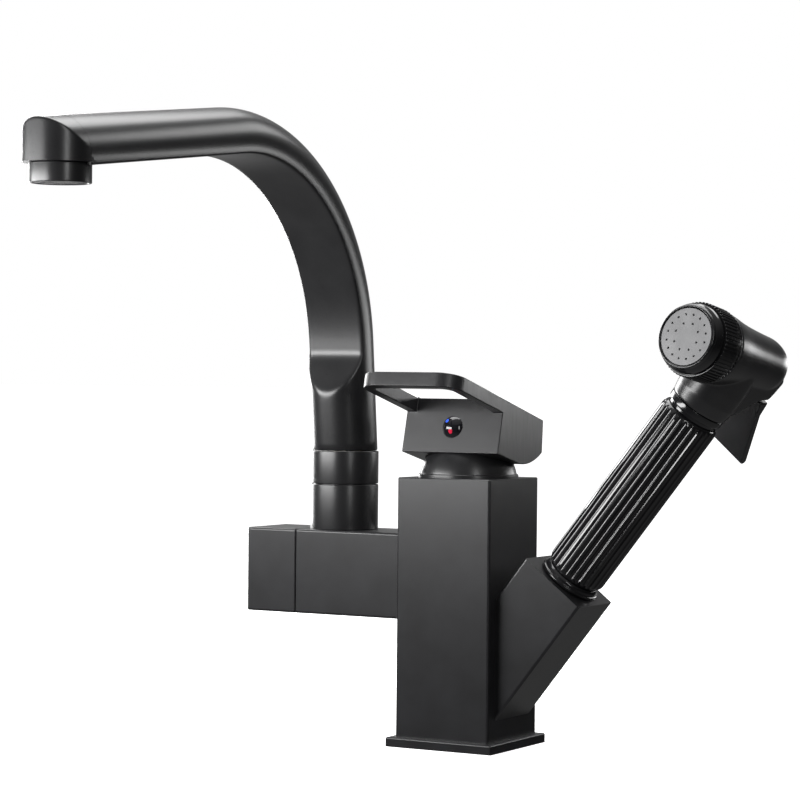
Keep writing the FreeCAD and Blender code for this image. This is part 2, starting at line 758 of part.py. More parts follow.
def stem_pin():
    return x_rod(PIN_R, -TURRET_R + 0.4, TURRET_R - 0.4, 0, PIVOT_Z)


def cartridge_stem():
    half = STEM_W / 2
    blade = box(-half, half, -half, half, SHANK_LOW, STEM_TOP)
    blade = blade.makeChamfer(0.5, [e for e in blade.Edges if e.CenterOfMass.z > STEM_TOP - 0.01])
    shank = box(-SHANK_HALF, SHANK_HALF, -SHANK_HALF, SHANK_HALF, -STEM_TIP, SHANK_LOW)
    tip = Part.makeSphere(TIP_R, Vector(0, 0, -STEM_TIP))
    stem = blade.fuse([shank, tip])
    stem = stem.cut(x_rod(PIN_R + RUNNING, -half - 1, half + 1))
    return placed(stem, STEM_FRAME)


def cartridge_nut():
    nut = upright(NUT_THREAD_R, SHELL_TOP, COLUMN_TOP - 1.5)
    nut = nut.fuse(upright(NUT_NECK_R, COLUMN_TOP - 2, NUT_TOP))
    nut = nut.cut(upright(NUT_BORE_R, SHELL_TOP, NUT_TOP))
    for k in range(NUT_NOTCHES):
        notch = box(NOTCH_IN, NUT_NECK_R, -NOTCH_HALF, NOTCH_HALF, NUT_TOP - NOTCH_DEPTH, NUT_TOP)
        notch.rotate(ORIGIN, Z_AXIS, 45 + 360 * k / NUT_NOTCHES)
        nut = nut.cut(notch)
    return nut


def bonnet_dome():
    ball = Part.makeSphere(DOME_R, Vector(0, 0, PIVOT_Z))
    ball = ball.common(upright(DOME_R + 1, COLUMN_TOP, PIVOT_Z + DOME_R + 1))
    rim = upright(DOME_RIM_R, COLUMN_TOP, DOME_RIM_TOP)
    rim = rim.makeFillet(0.4, [e for e in rim.Edges if e.CenterOfMass.z > DOME_RIM_TOP - 0.01])
    dome = ball.fuse(rim)
    dome = dome.cut(Part.makeSphere(DOME_R - DOME_WALL, Vector(0, 0, PIVOT_Z)))
    dome = dome.cut(upright(NUT_NECK_R, COLUMN_TOP, NUT_TOP))
    return dome.cut(upright(DOME_HOLE_R, COLUMN_TOP, PIVOT_Z + DOME_R + 1))


# --- lever --------------------------------------------------------------------------------
BOSS_R = 9.0
BOSS_LOW = 15.0
SET_SCREW_R = 2.5
BACK_BOTTOM_Y = 22.5
BACK_BOTTOM_H = 20.4
KNEE_Y = 12.5
KNEE_H = 13.3
SET_SCREW_LENGTH = 6.0
SET_SCREW_STOP = -12.85


def lever_block():
    """The lever's thick back end, in its own tilted frame."""
    outline = [
        Vector(0, -LEVER_FRONT, LEVER_FRONT_BOTTOM),
        Vector(0, 0.0, LEVER_BOTTOM),
        Vector(0, BACK_BOTTOM_Y, BACK_BOTTOM_H),
        Vector(0, -LEVER_BACK, LEVER_TOP),
        Vector(0, -LEVER_FRONT, LEVER_TOP),
    ]
    knee = Vector(0, KNEE_Y, KNEE_H)
    edges = [
        Part.LineSegment(outline[0], outline[1]).toShape(),
        Part.Arc(outline[1], knee, outline[2]).toShape(),
        Part.LineSegment(outline[2], outline[3]).toShape(),
        Part.LineSegment(outline[3], outline[4]).toShape(),
        Part.LineSegment(outline[4], outline[0]).toShape(),
    ]
    face = Part.Face(Part.Wire(edges))
    face.translate(Vector(-LEVER_HALF_W, 0, 0))
    return face.extrude(Vector(2 * LEVER_HALF_W, 0, 0))


def in_front(point):
    """A test for the loop's front corners."""
    return point.y < -LOOP_FRONT + LOOP_CORNER_R


def lever_loop():
    """The flat rectangular loop ahead of the block, with rounded front corners."""
    half = LEVER_HALF_W
    outer = box(-half, half, -LOOP_FRONT, -LEVER_FRONT + 3, LOOP_LOW, LEVER_TOP)
    outer = soften(outer, LOOP_CORNER_R, Z_AXIS, in_front)
    half = LEVER_HALF_W - LOOP_BAR_W
    inner = box(-half, half, -LOOP_FRONT + LOOP_FRONT_W, -LEVER_FRONT, LOOP_LOW, LEVER_TOP)
    return outer.cut(soften(inner, LOOP_INNER_R, Z_AXIS, in_front))


def lever_handle():
    body = lever_block().fuse(lever_loop()).removeSplitter()
    body = body.cut(Part.makeSphere(LEVER_POCKET_R))
    heel = box(-LEVER_HALF_W, LEVER_HALF_W, 0, LEVER_HEEL_R, 0, BACK_BOTTOM_H)
    body = body.cut(Part.makeSphere(LEVER_HEEL_R).common(heel))
    to_lever = LEVER_FRAME.inverse().multiply(STEM_FRAME)
    boss = placed(upright(BOSS_R, BOSS_LOW, STEM_TOP), to_lever)
    body = body.fuse(boss)
    half = STEM_W / 2
    socket = placed(box(-half, half, -half, half, 0, STEM_TOP), to_lever)
    body = body.cut(socket)
    screw_way = rod(SET_SCREW_R, Vector(0, -LEVER_FRONT, BUTTON_H), Y_AXIS, LEVER_FRONT)
    body = body.cut(screw_way.cut(socket))
    return placed(body, LEVER_FRAME)


def lever_set_screw():
    outer_end = Vector(0, SET_SCREW_STOP - SET_SCREW_LENGTH, BUTTON_H)
    screw = rod(SET_SCREW_R, outer_end, Y_AXIS, SET_SCREW_LENGTH)
    return placed(screw.cut(rod(HEX_R, outer_end, Y_AXIS, 2 * HEX_R)), LEVER_FRAME)


BUTTON_CROWN = 2.6
BUTTON_BALL_R = (BUTTON_R ** 2 + BUTTON_CROWN ** 2) / (2 * BUTTON_CROWN)
BUTTON_STUB = 2.0
MARK_R = 1.0
MARK_IN = 0.8
COLD_MARK = (-2.4, BUTTON_H + 2.6)
HOT_MARK = (0.2, BUTTON_H - 2.6)


def button_crown():
    """The button's domed cap in front of the lever's face."""
    centre = Vector(0, -LEVER_FRONT - BUTTON_CROWN + BUTTON_BALL_R, BUTTON_H)
    front = Vector(0, -LEVER_FRONT - BUTTON_CROWN, BUTTON_H)
    return Part.makeSphere(BUTTON_BALL_R, centre).common(rod(BUTTON_R, front, Y_AXIS, BUTTON_CROWN))


def mark_plug(x, h):
    """A short peg let into the button's dome at one place."""
    return rod(MARK_R, Vector(x, -LEVER_FRONT - BUTTON_CROWN, h), Y_AXIS, BUTTON_CROWN - MARK_IN)


def index_button():
    stub = rod(SET_SCREW_R, Vector(0, -LEVER_FRONT, BUTTON_H), Y_AXIS, BUTTON_STUB)
    button = button_crown().fuse(stub)
    for x, h in (COLD_MARK, HOT_MARK):
        button = button.cut(mark_plug(x, h))
    return placed(button, LEVER_FRAME)


def index_mark(place):
    return placed(button_crown().common(mark_plug(*place)), LEVER_FRAME)


# --- hand spray ---------------------------------------------------------------------------
CONNECTOR_R = 7.0
CONNECTOR_BORE_R = 4.5
SKIRT_R = 12.0
SKIRT_LOW = -9.0
NUT_LOW = -22.0
GRIP_BORE_R = 10.4
INNER_TUBE_R = 8.0
INNER_TUBE_BORE_R = 5.5
CONNECTOR_TOP = 7.0
CONNECTOR_FLANGE_R = 8.6
NUT_CONE = ((0, NUT_LOW), (7.6, NUT_LOW), (11.4, SKIRT_LOW - 0.4), (0, SKIRT_LOW - 0.4))
FLUTE_R = 1.15
FLUTE_STAND_OFF = 0.25


def hose_nut():
    cone = turned(list(NUT_CONE))
    stalk = upright(CONNECTOR_R, SKIRT_LOW - 1, CONNECTOR_TOP)
    flange = upright(CONNECTOR_FLANGE_R, CONNECTOR_TOP - 2, CONNECTOR_TOP)
    nut = cone.fuse([stalk, flange])
    return placed(nut.cut(upright(CONNECTOR_BORE_R, NUT_LOW, CONNECTOR_TOP)), SPRAY_FRAME)


def grip_collar():
    outside = turned(
        [
            (0, 0.4),
            (COLLAR_LIP_R - 0.4, 0.4),
            (COLLAR_LIP_R, 0.8),
            (COLLAR_LIP_R, 1.6),
            (COLLAR_LIP_R - 0.7, 1.9),
            (COLLAR_LIP_R - 1.0, 3.2),
            (GRIP_CORE_R, GRIP_LOW),
            (0, GRIP_LOW),
        ]
    )
    collar = outside.fuse(upright(SKIRT_R, SKIRT_LOW, 1.0))
    collar = collar.cut(upright(CONNECTOR_R + RUNNING, SKIRT_LOW, GRIP_LOW))
    return placed(collar, SPRAY_FRAME)


def grip_sleeve():
    sleeve = turned(
        [
            (GRIP_BORE_R, GRIP_LOW),
            (GRIP_CORE_R, GRIP_LOW),
            (GRIP_R, GRIP_LOW + 2.8),
            (GRIP_R, GRIP_HIGH - 2.8),
            (GRIP_CORE_R, GRIP_HIGH),
            (GRIP_BORE_R, GRIP_HIGH),
        ]
    )
    cutters = []
    for k in range(FLUTES):
        turn = math.radians(360.0 * k / FLUTES)
        x = (GRIP_R + FLUTE_STAND_OFF) * math.cos(turn)
        y = (GRIP_R + FLUTE_STAND_OFF) * math.sin(turn)
        cutters.append(upright(FLUTE_R, GRIP_LOW, GRIP_HIGH, x, y))
    return placed(sleeve.cut(Part.makeCompound(cutters)), SPRAY_FRAME)


def grip_inner_tube():
    tube = ring(GRIP_BORE_R, INNER_TUBE_BORE_R, GRIP_LOW, GRIP_LOW + 8)
    tube = tube.cut(upright(CONNECTOR_FLANGE_R + 0.2, GRIP_LOW, CONNECTOR_TOP + 0.5))
    tube = tube.fuse(ring(INNER_TUBE_R, INNER_TUBE_BORE_R, GRIP_LOW + 7, GRIP_HIGH + 5))
    return placed(tube, SPRAY_FRAME)


def neck_ring():
    body = turned(
        [
            (INNER_TUBE_R, GRIP_HIGH),
            (12.4, GRIP_HIGH),
            (12.4, GRIP_HIGH + 1.8),
            (13.6, GRIP_HIGH + 2.2),
            (13.9, NECK_TOP - 0.5),
            (13.5, NECK_TOP),
            (INNER_TUBE_R, NECK_TOP),
        ]
    )
    return placed(body, SPRAY_FRAME)


BARREL_R = 14.9
GASKET_TOP = KNURL_HIGH - 0.9
HEAD_PROFILE = [
    (0, KNURL_HIGH - 2.0),
    (BARREL_R, KNURL_HIGH - 2.0),
    (BARREL_R, KNURL_LOW - 0.1),
    (17.1, KNURL_LOW - 0.1),
    (15.9, 12),
    (14.5, 2),
    (13.7, -10),
    (13.2, -21),
    (11.8, -27),
    (8.0, -30.5),
    (0, -HEAD_BACK),
]
NECK_R = 14.1
HEEL_HALF_W = 12.0
NOZZLE_BORE_R = 9.0
WATERWAY_R = 3.2
TRIGGER_SLOT_HALF = 8.4
CHAMBER_R = 5.6
CHAMBER_FRONT = -7.0
CHAMBER_BACK = 7.0
PLUNGER_R = 1.9


def head_lower_body():
    """The neck and the rounded heel under the barrel, in the spray's own frame."""
    neck = turned([(0, NECK_TOP), (NECK_R, NECK_TOP), (15.1, 113), (15.1, 120), (NECK_R, 134), (0, 134)])
    heel = [(0, 110), (11, 111), (14, 115), (22, 121.5), (28.2, 122.3), (29.0, 127), (30.0, 134)]
    heel += [(24, 138), (0, 138)]
    block = side_prism(heel, HEEL_HALF_W)
    sides = [e for e in block.Edges if abs(e.CenterOfMass.x) > HEEL_HALF_W - 1]
    rear = [e for e in sides if abs(e.CenterOfMass.y - 20) < 12 and e.Length > 3.5]
    block = block.makeFillet(2.0, rear)
    return neck.fuse(block)


def spray_head_body():
    to_spray = SPRAY_FRAME.inverse().multiply(NOZZLE_FRAME)
    barrel = placed(turned(HEAD_PROFILE), to_spray)
    head = barrel.fuse(head_lower_body())
    chamber = Vector(0, CHAMBER_FRONT, PLUNGER_T)
    half = TRIGGER_SLOT_HALF
    hollows = [
        placed(upright(NOZZLE_BORE_R, 4, KNURL_HIGH), to_spray),
        rod(CHAMBER_R, chamber, Y_AXIS, CHAMBER_BACK - CHAMBER_FRONT),
        rod(PLUNGER_R + RUNNING, chamber, Y_AXIS, HEAD_BACK - CHAMBER_FRONT),
        upright(WATERWAY_R, PLUNGER_T, NOZZLE_T, 0, -3),
        upright(INNER_TUBE_R, NECK_TOP, NECK_TOP + 3),
        upright(WATERWAY_R, NECK_TOP, PLUNGER_T),
        box(-half, half, 19.2, 27.2, 119, 130),
        rod(TRIGGER_PIN_R, Vector(-13, TRIGGER_PIN_Y, TRIGGER_PIN_T), X_AXIS, 23.4),
    ]
    return placed(head.cut(hollows), SPRAY_FRAME)


def trigger():
    """The squeeze plate behind the neck and the tongue that hangs it on its pin."""
    outline = [
        (28.6, 121.8),
        (29.8, 114.5),
        (44.0, 89.6),
        (43.4, 87.8),
        (42.0, 87.3),
        (41.0, 88.2),
        (27.8, 113.0),
        (24.0, 120.3),
    ]
    plate = side_prism(outline, TRIGGER_HALF_W)
    sides = [e for e in plate.Edges if abs(abs(e.CenterOfMass.x) - TRIGGER_HALF_W) < 0.01]
    plate = plate.makeFillet(0.6, sides)
    tongue = [(23.6, 119.5), (27.0, 119.5), (26.8, 125.5), (26.0, 126.4), (23.6, 126.4)]
    body = plate.fuse(side_prism(tongue, TRIGGER_SLOT_HALF - 0.4))
    pin_way = rod(TRIGGER_PIN_R + RUNNING, Vector(-9, TRIGGER_PIN_Y, TRIGGER_PIN_T), X_AXIS, 18)
    return placed(body.cut(pin_way), SPRAY_FRAME)


def trigger_pin():
    pin = rod(TRIGGER_PIN_R, Vector(-11.6, TRIGGER_PIN_Y, TRIGGER_PIN_T), X_AXIS, 21.8)
    return placed(pin, SPRAY_FRAME)


PLUNGER_END = 25.3
PLUNGER_HEAD_LOW = 3.2
PLUNGER_HEAD_HIGH = 5.2
PLUNGER_HEAD_R = 4.6
VALVE_SEAL_R = 4.8


def valve_plunger():
    start = Vector(0, PLUNGER_HEAD_LOW, PLUNGER_T)
    head = rod(PLUNGER_HEAD_R, start, Y_AXIS, PLUNGER_HEAD_HIGH - PLUNGER_HEAD_LOW)
    shank = rod(PLUNGER_R, start, Y_AXIS, PLUNGER_END - PLUNGER_R - PLUNGER_HEAD_LOW)
    end = Part.makeSphere(PLUNGER_R, Vector(0, PLUNGER_END - PLUNGER_R, PLUNGER_T))
    return placed(head.fuse([shank, end]), SPRAY_FRAME)


def valve_seal():
    start = Vector(0, PLUNGER_HEAD_HIGH, PLUNGER_T)
    thick = CHAMBER_BACK - PLUNGER_HEAD_HIGH - RUNNING
    seal = rod(VALVE_SEAL_R, start, Y_AXIS, thick).cut(rod(PLUNGER_R, start, Y_AXIS, thick))
    return placed(seal, SPRAY_FRAME)


SPRING_R = 3.4
SPRING_WIRE_R = 0.4
SPRING_PITCH = 2.0
SPRING_TURNS = 4.5


def valve_spring():
    """A round-wire compression spring ahead of the plunger's head."""
    height = SPRING_PITCH * SPRING_TURNS
    helix = Part.makeHelix(SPRING_PITCH, height, SPRING_R)
    profile = Part.Wire(Part.makeCircle(SPRING_WIRE_R, Vector(SPRING_R, 0, 0), Y_AXIS))
    coil = Part.Wire(helix).makePipeShell([profile], True, True)
    stand = Placement(Vector(0, CHAMBER_FRONT + 0.5, PLUNGER_T), Rotation(X_AXIS, -90))
    return placed(coil, SPRAY_FRAME.multiply(stand))


def knurled_ring():
    band = turned(
        [
            (BARREL_R + RUNNING, KNURL_LOW),
            (KNURL_R - 0.4, KNURL_LOW),
            (KNURL_R, KNURL_LOW + 0.5),
            (KNURL_R, KNURL_HIGH - 0.6),
            (KNURL_R - 0.7, KNURL_HIGH),
            (BARREL_R + RUNNING, KNURL_HIGH),
        ]
    )
    cutters = []
    for k in range(KNURLS):
        cutter = box(KNURL_ROOT_R, KNURL_R + 1, -GROOVE_W / 2, GROOVE_W / 2, KNURL_LOW, KNURL_HIGH)
        cutter.rotate(ORIGIN, Z_AXIS, 360.0 * k / KNURLS)
        cutters.append(cutter)
    return placed(band.cut(Part.makeCompound(cutters)), NOZZLE_FRAME)


def face_bezel():
    bezel = turned(
        [
            (FACE_R + 0.35, GASKET_TOP),
            (BARREL_R, GASKET_TOP),
            (BARREL_R, KNURL_HIGH + 0.05),
            (16.1, KNURL_HIGH + 0.15),
            (16.2, KNURL_HIGH + 1.6),
            (15.8, KNURL_HIGH + 3.5),
            (15.0, KNURL_HIGH + 5.3),
            (14.5, FACE_OUT - 0.2),
            (14.1, FACE_OUT + 0.15),
            (13.6, FACE_OUT + 0.1),
            (FACE_R + 0.35, FACE_OUT - 0.3),
        ]
    )
    return placed(bezel, NOZZLE_FRAME)


OUTER_JETS = 16
INNER_JETS = 8
OUTER_JET_R = 10.2
INNER_JET_R = 6.3
JET_R = 0.55
FACE_HOLLOW_R = 11.7
FACE_THICK = 2.25


def spray_face():
    high = FACE_OUT - 0.25
    plate = upright(FACE_R, GASKET_TOP, high)
    plate = plate.cut(upright(FACE_HOLLOW_R, GASKET_TOP, high - FACE_THICK))
    jets = []
    for count, radius, first in ((OUTER_JETS, OUTER_JET_R, 0.0), (INNER_JETS, INNER_JET_R, 12.0)):
        for k in range(count):
            turn = math.radians(first + 360.0 * k / count)
            x = radius * math.cos(turn)
            jets.append(upright(JET_R, GASKET_TOP, high, x, radius * math.sin(turn)))
    return placed(plate.cut(Part.makeCompound(jets)), NOZZLE_FRAME)


def face_gasket():
    gasket = ring(BARREL_R, NOZZLE_BORE_R, KNURL_HIGH - 2.0, GASKET_TOP)
    return placed(gasket, NOZZLE_FRAME)


NODES = {
    "base_plate": base_plate,
    "base_gasket": base_gasket,
    "body_column": body_column,
    "dock_block": dock_block,
    "dock_liner": dock_liner,
    "dock_screws": dock_screws,
    "arm_block": arm_block,
    "arm_nipple": arm_nipple,
    "arm_nipple_o_rings": arm_nipple_o_rings,
    "diverter_headwork": diverter_headwork,
    "diverter_o_ring": diverter_o_ring,
    "diverter_fixed_disc": diverter_fixed_disc,
    "diverter_turning_disc": diverter_turning_disc,
    "diverter_spindle": diverter_spindle,
    "diverter_knob": diverter_knob,
    "diverter_grub_screw": diverter_grub_screw,
    "spout_collar": spout_collar,
    "spout_collar_ring": spout_collar_ring,
    "swivel_slip_washer": swivel_slip_washer,
    "spout_swivel_tube": spout_swivel_tube,
    "swivel_o_rings": swivel_o_rings,
    "swivel_clip": swivel_clip,
    "spout_tube": spout_tube,
    "spout_nose": spout_nose,
    "aerator_housing": aerator_housing,
    "aerator_insert": aerator_insert,
    "aerator_gasket": aerator_gasket,
    "cartridge_seal": cartridge_seal,
    "cartridge_base": cartridge_base,
    "ceramic_fixed_disc": ceramic_fixed_disc,
    "ceramic_moving_disc": ceramic_moving_disc,
    "disc_carrier": disc_carrier,
    "cartridge_shell": cartridge_shell,
    "cartridge_turret": cartridge_turret,
    "stem_pin": stem_pin,
    "cartridge_stem": cartridge_stem,
    "cartridge_nut": cartridge_nut,
    "bonnet_dome": bonnet_dome,
    "lever_handle": lever_handle,
    "lever_set_screw": lever_set_screw,
    "index_button": index_button,
    "cold_mark": lambda: index_mark(COLD_MARK),
    "hot_mark": lambda: index_mark(HOT_MARK),
    "hose_nut": hose_nut,
    "grip_collar": grip_collar,
    "grip_sleeve": grip_sleeve,
    "grip_inner_tube": grip_inner_tube,
    "neck_ring": neck_ring,
    "spray_head_body": spray_head_body,
    "trigger": trigger,
    "trigger_pin": trigger_pin,
    "valve_plunger": valve_plunger,
    "valve_seal": valve_seal,
    "valve_spring": valve_spring,
    "knurled_ring": knurled_ring,
    "face_bezel": face_bezel,
    "spray_face": spray_face,
    "face_gasket": face_gasket,
}

for node, make in NODES.items():
    save(node, make())
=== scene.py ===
import json
import math

import bmesh
import bpy
from mathutils import Matrix, Vector


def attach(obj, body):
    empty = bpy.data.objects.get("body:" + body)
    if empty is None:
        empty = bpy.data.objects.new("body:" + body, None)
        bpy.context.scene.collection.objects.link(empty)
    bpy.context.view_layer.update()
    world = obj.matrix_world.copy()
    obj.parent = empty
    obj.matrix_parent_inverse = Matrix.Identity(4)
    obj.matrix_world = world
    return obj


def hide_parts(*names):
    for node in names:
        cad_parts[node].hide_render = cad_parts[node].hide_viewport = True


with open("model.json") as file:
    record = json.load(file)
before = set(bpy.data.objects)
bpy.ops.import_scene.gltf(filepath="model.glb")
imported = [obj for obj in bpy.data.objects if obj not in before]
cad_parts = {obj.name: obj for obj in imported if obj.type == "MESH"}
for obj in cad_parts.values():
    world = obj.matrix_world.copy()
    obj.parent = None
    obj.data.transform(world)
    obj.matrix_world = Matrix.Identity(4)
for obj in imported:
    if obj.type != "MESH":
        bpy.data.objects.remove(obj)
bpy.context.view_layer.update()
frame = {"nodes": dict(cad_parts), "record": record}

# A black single-lever tap with a swivel spout and a trigger hand spray. Metres, in the frame of
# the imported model: +Z up from the deck, -Y the way the spout points.

MM = 0.001
NODES = frame["nodes"]

# --- frames and sizes shared with the model -----------------------------------------------
SPOUT_X = -69.4
COLLAR_R = 16.7
COLLAR_LOW = 101.3
COLLAR_JOINT_LOW = 123.4
COLLAR_JOINT_HIGH = 123.8
COLLAR_TOP = 139.8
COLLAR_NECK_R = 15.4
TUBE_R = 16.1
TUBE_FLAT = 5.4
TUBE_LOW = 140.1
LEAN_FROM_Z = 141.0
SPOUT_LEAN = math.radians(5.4)
FLAT_START = 38.0
FLAT_FULL = 13.0
BEND_Z = 183.7
BEND_R = 99.3
SPOUT_DROP = math.radians(6.7)
REACH = 233.3
NOSE_R = 16.9
NOSE_LOW = 264.5
NOSE_MOUTH_R = 12.6
AERATOR_LOW = 256.0
AERATOR_R = 13.3
AERATOR_NECK_R = 12.4
AERATOR_BORE_R = 11.7
PIVOT_Z = 126.0
LEVER_TILT = math.radians(14.25)
LEVER_HALF_W = 26.0
LEVER_TOP = 36.0
LEVER_BOTTOM = 9.9
LEVER_FRONT_BOTTOM = 9.4
LEVER_FRONT = 22.5
LEVER_BACK = 22.5
LEVER_BACK_TOP = 19.7
LEVER_BACK_BOTTOM = 20.4
LEVER_KNEE = (12.6, 11.0)
LOOP_FRONT = 72.8
LOOP_LOW = 29.3
LOOP_SIDE_BAR = 5.3
LOOP_FRONT_BAR = 5.8
LOOP_OUTER_R = 10.5
LOOP_INNER_R = 5.0
LEVER_POCKET_R = 24.3
DOME_R = 23.6
DOME_RIM_R = 24.0
DOME_RIM_LOW = 128.5
DOME_TOP = 143.0
DOME_HOLE_R = 16.2
DOCK_MOUTH = (54.3, 0.0, 81.2)
DOCK_LEAN = math.radians(38.0)
SPRAY_TURN = math.radians(-13.8)
NOZZLE_T = 135.06
NOZZLE_LEAN = math.radians(87.0)
GRIP_R = 14.6
GRIP_END_R = 13.1
GRIP_BORE_R = 10.4
GRIP_LOW = 4.4
GRIP_HIGH = 101.0
NECK_TOP = 106.3
KNURL_LOW = 22.1
KNURL_HIGH = 35.8
KNURL_R = 17.4
FACE_OUT = 42.3

ROW = Matrix.Identity(4)
SPOUT_AXIS = Matrix.Translation((SPOUT_X, 0, 0))
NOSE_AXIS = Matrix.Translation((SPOUT_X, -REACH, 0))
LEVER = Matrix.Translation((0, 0, PIVOT_Z)) @ Matrix.Rotation(-LEVER_TILT, 4, "X")
SPRAY = (
    Matrix.Translation(DOCK_MOUTH)
    @ Matrix.Rotation(DOCK_LEAN, 4, "Y")
    @ Matrix.Rotation(SPRAY_TURN, 4, "Z")
)
NOZZLE = SPRAY @ Matrix.Translation((0, 0, NOZZLE_T)) @ Matrix.Rotation(NOZZLE_LEAN, 4, "X")
FULL_TURN = 2 * math.pi


# --- materials ----------------------------------------------------------------------------
def grain(tree, scale, detail, stretch=(1.0, 1.0, 1.0)):
    """A noise over the object's own coordinates, with its scale per metre."""
    coords = tree.nodes.new("ShaderNodeTexCoord")
    mapping = tree.nodes.new("ShaderNodeMapping")
    mapping.inputs["Scale"].default_value = stretch
    noise = tree.nodes.new("ShaderNodeTexNoise")
    noise.inputs["Scale"].default_value = scale
    noise.inputs["Detail"].default_value = detail
    tree.links.new(coords.outputs["Object"], mapping.inputs["Vector"])
    tree.links.new(mapping.outputs["Vector"], noise.inputs["Vector"])
    return noise.outputs["Fac"]


def spread(tree, factor, low, high):
    """A noise value turned into a range of numbers."""
    node = tree.nodes.new("ShaderNodeMapRange")
    node.inputs["From Min"].default_value = 0.3
    node.inputs["From Max"].default_value = 0.7
    node.inputs["To Min"].default_value = low
    node.inputs["To Max"].default_value = high
    tree.links.new(factor, node.inputs["Value"])
    return node.outputs["Result"]


def tint(tree, factor, dark, light):
    """A noise value turned into a range between two colours."""
    ramp = tree.nodes.new("ShaderNodeValToRGB")
    ramp.color_ramp.elements[0].position = 0.3
    ramp.color_ramp.elements[1].position = 0.7
    ramp.color_ramp.elements[0].color = (*dark, 1)
    ramp.color_ramp.elements[1].color = (*light, 1)
    tree.links.new(factor, ramp.inputs["Fac"])
    return ramp.outputs["Color"]


def finish(
    name,
    dark,
    light,
    rough,
    metal=0.0,
    specular=0.5,
    cloud=60.0,
    speck=4000.0,
    bump=0.1,
    depth=0.00002,
    stretch=(1.0, 1.0, 1.0),
    coat=0.0,
):
    """A surface with slow colour clouds, uneven gloss and a fine raised grain."""
    material = bpy.data.materials.new(name)
    material.use_nodes = True
    tree = material.node_tree
    shader = tree.nodes["Principled BSDF"]
    shader.inputs["Metallic"].default_value = metal
    shader.inputs["Specular IOR Level"].default_value = specular
    shader.inputs["Coat Weight"].default_value = coat
    shader.inputs["Coat Roughness"].default_value = 0.12
    clouds = grain(tree, cloud, 3.0)
    fine = grain(tree, speck, 2.0, stretch)
    tree.links.new(tint(tree, clouds, dark, light), shader.inputs["Base Color"])
    tree.links.new(spread(tree, fine, *rough), shader.inputs["Roughness"])
    raised = tree.nodes.new("ShaderNodeBump")
    raised.inputs["Strength"].default_value = bump
    raised.inputs["Distance"].default_value = depth
    tree.links.new(fine, raised.inputs["Height"])
    tree.links.new(raised.outputs["Normal"], shader.inputs["Normal"])
    return material


BRUSHED = (1.0, 1.0, 0.03)
COATING = finish("black_coating", (0.012, 0.012, 0.013), (0.019, 0.019, 0.021), (0.29, 0.36))
COATING_BRUSHED = finish(
    "black_coating_brushed",
    (0.012, 0.012, 0.013),
    (0.021, 0.021, 0.023),
    (0.30, 0.46),
    speck=2600.0,
    bump=0.25,
    stretch=BRUSHED,
)
SPOUT_COATING = finish(
    "black_coating_spout", (0.013, 0.013, 0.014), (0.019, 0.019, 0.02), (0.27, 0.33)
)
GLOSS = finish(
    "gloss_black", (0.008, 0.008, 0.009), (0.013, 0.013, 0.014), (0.11, 0.16), bump=0.05
)
FACE_GREY = finish(
    "face_grey", (0.22, 0.22, 0.225), (0.34, 0.34, 0.345), (0.42, 0.6), speck=2500.0, bump=0.5
)
MESH_METAL = finish(
    "strainer_metal", (0.2, 0.2, 0.2), (0.34, 0.34, 0.34), (0.25, 0.4), metal=0.8, cloud=400.0
)
BRASS = finish(
    "turned_brass", (0.60, 0.42, 0.17), (0.74, 0.55, 0.26), (0.22, 0.34), metal=1.0, speck=3000.0
)
STEEL = finish("bright_steel", (0.45, 0.45, 0.46), (0.6, 0.6, 0.61), (0.24, 0.36), metal=1.0)
RUBBER = finish("seal_rubber", (0.012, 0.012, 0.012), (0.03, 0.03, 0.03), (0.7, 0.85), bump=0.3)
CERAMIC = finish("lapped_ceramic", (0.78, 0.77, 0.74), (0.86, 0.85, 0.83), (0.14, 0.2))
PLASTIC = finish("moulded_plastic", (0.66, 0.66, 0.63), (0.76, 0.76, 0.74), (0.4, 0.52))
DARK_PLASTIC = finish("dark_plastic", (0.02, 0.02, 0.02), (0.035, 0.035, 0.036), (0.4, 0.5))
BUTTON = finish("button_black", (0.006, 0.006, 0.008), (0.012, 0.012, 0.015), (0.05, 0.08), bump=0.02)
BLUE = finish("cold_blue", (0.03, 0.10, 0.75), (0.06, 0.16, 0.95), (0.1, 0.16), bump=0.05)
RED = finish("hot_red", (0.6, 0.01, 0.04), (0.85, 0.03, 0.08), (0.1, 0.16), bump=0.05)

SLOT_FINISH = {
    "black_coating": COATING,
    "gloss_black": GLOSS,
    "brass": BRASS,
    "steel": STEEL,
    "seal_rubber": RUBBER,
    "ceramic": CERAMIC,
    "inner_plastic": PLASTIC,
    "strainer": MESH_METAL,
    "button_black": BUTTON,
    "cold_blue": BLUE,
    "hot_red": RED,
    "face_grey": FACE_GREY,
}


# --- mesh helpers -------------------------------------------------------------------------
def soft_line(points, radius, steps=4):
    """A line of (r, z) points with each inner corner rounded."""
    made = [points[0]]
    for before, corner, after in zip(points, points[1:], points[2:]):
        here = Vector(corner)
        back = Vector(before) - here
        on = Vector(after) - here
        reach = min(radius, back.length * 0.45, on.length * 0.45)
        start = here + back.normalized() * reach
        end = here + on.normalized() * reach
        for k in range(steps + 1):
            t = k / steps
            made.append(tuple(start * (1 - t) ** 2 + here * (2 * t * (1 - t)) + end * t**2))
    made.append(points[-1])
    return made


def lathe(profile, segments=128, swell=None):
    """Points and faces of a profile turned about Z. swell(turn, r, z) may change each radius."""
    points = []
    for r, z in profile:
        for k in range(segments):
            turn = FULL_TURN * k / segments
            radius = swell(turn, r, z) if swell else r
            points.append((radius * math.cos(turn), radius * math.sin(turn), z))
    faces = []
    for i in range(len(profile) - 1):
        low = i * segments
        high = low + segments
        for k in range(segments):
            j = (k + 1) % segments
            faces.append((low + k, low + j, high + j, high + k))
    return points, faces


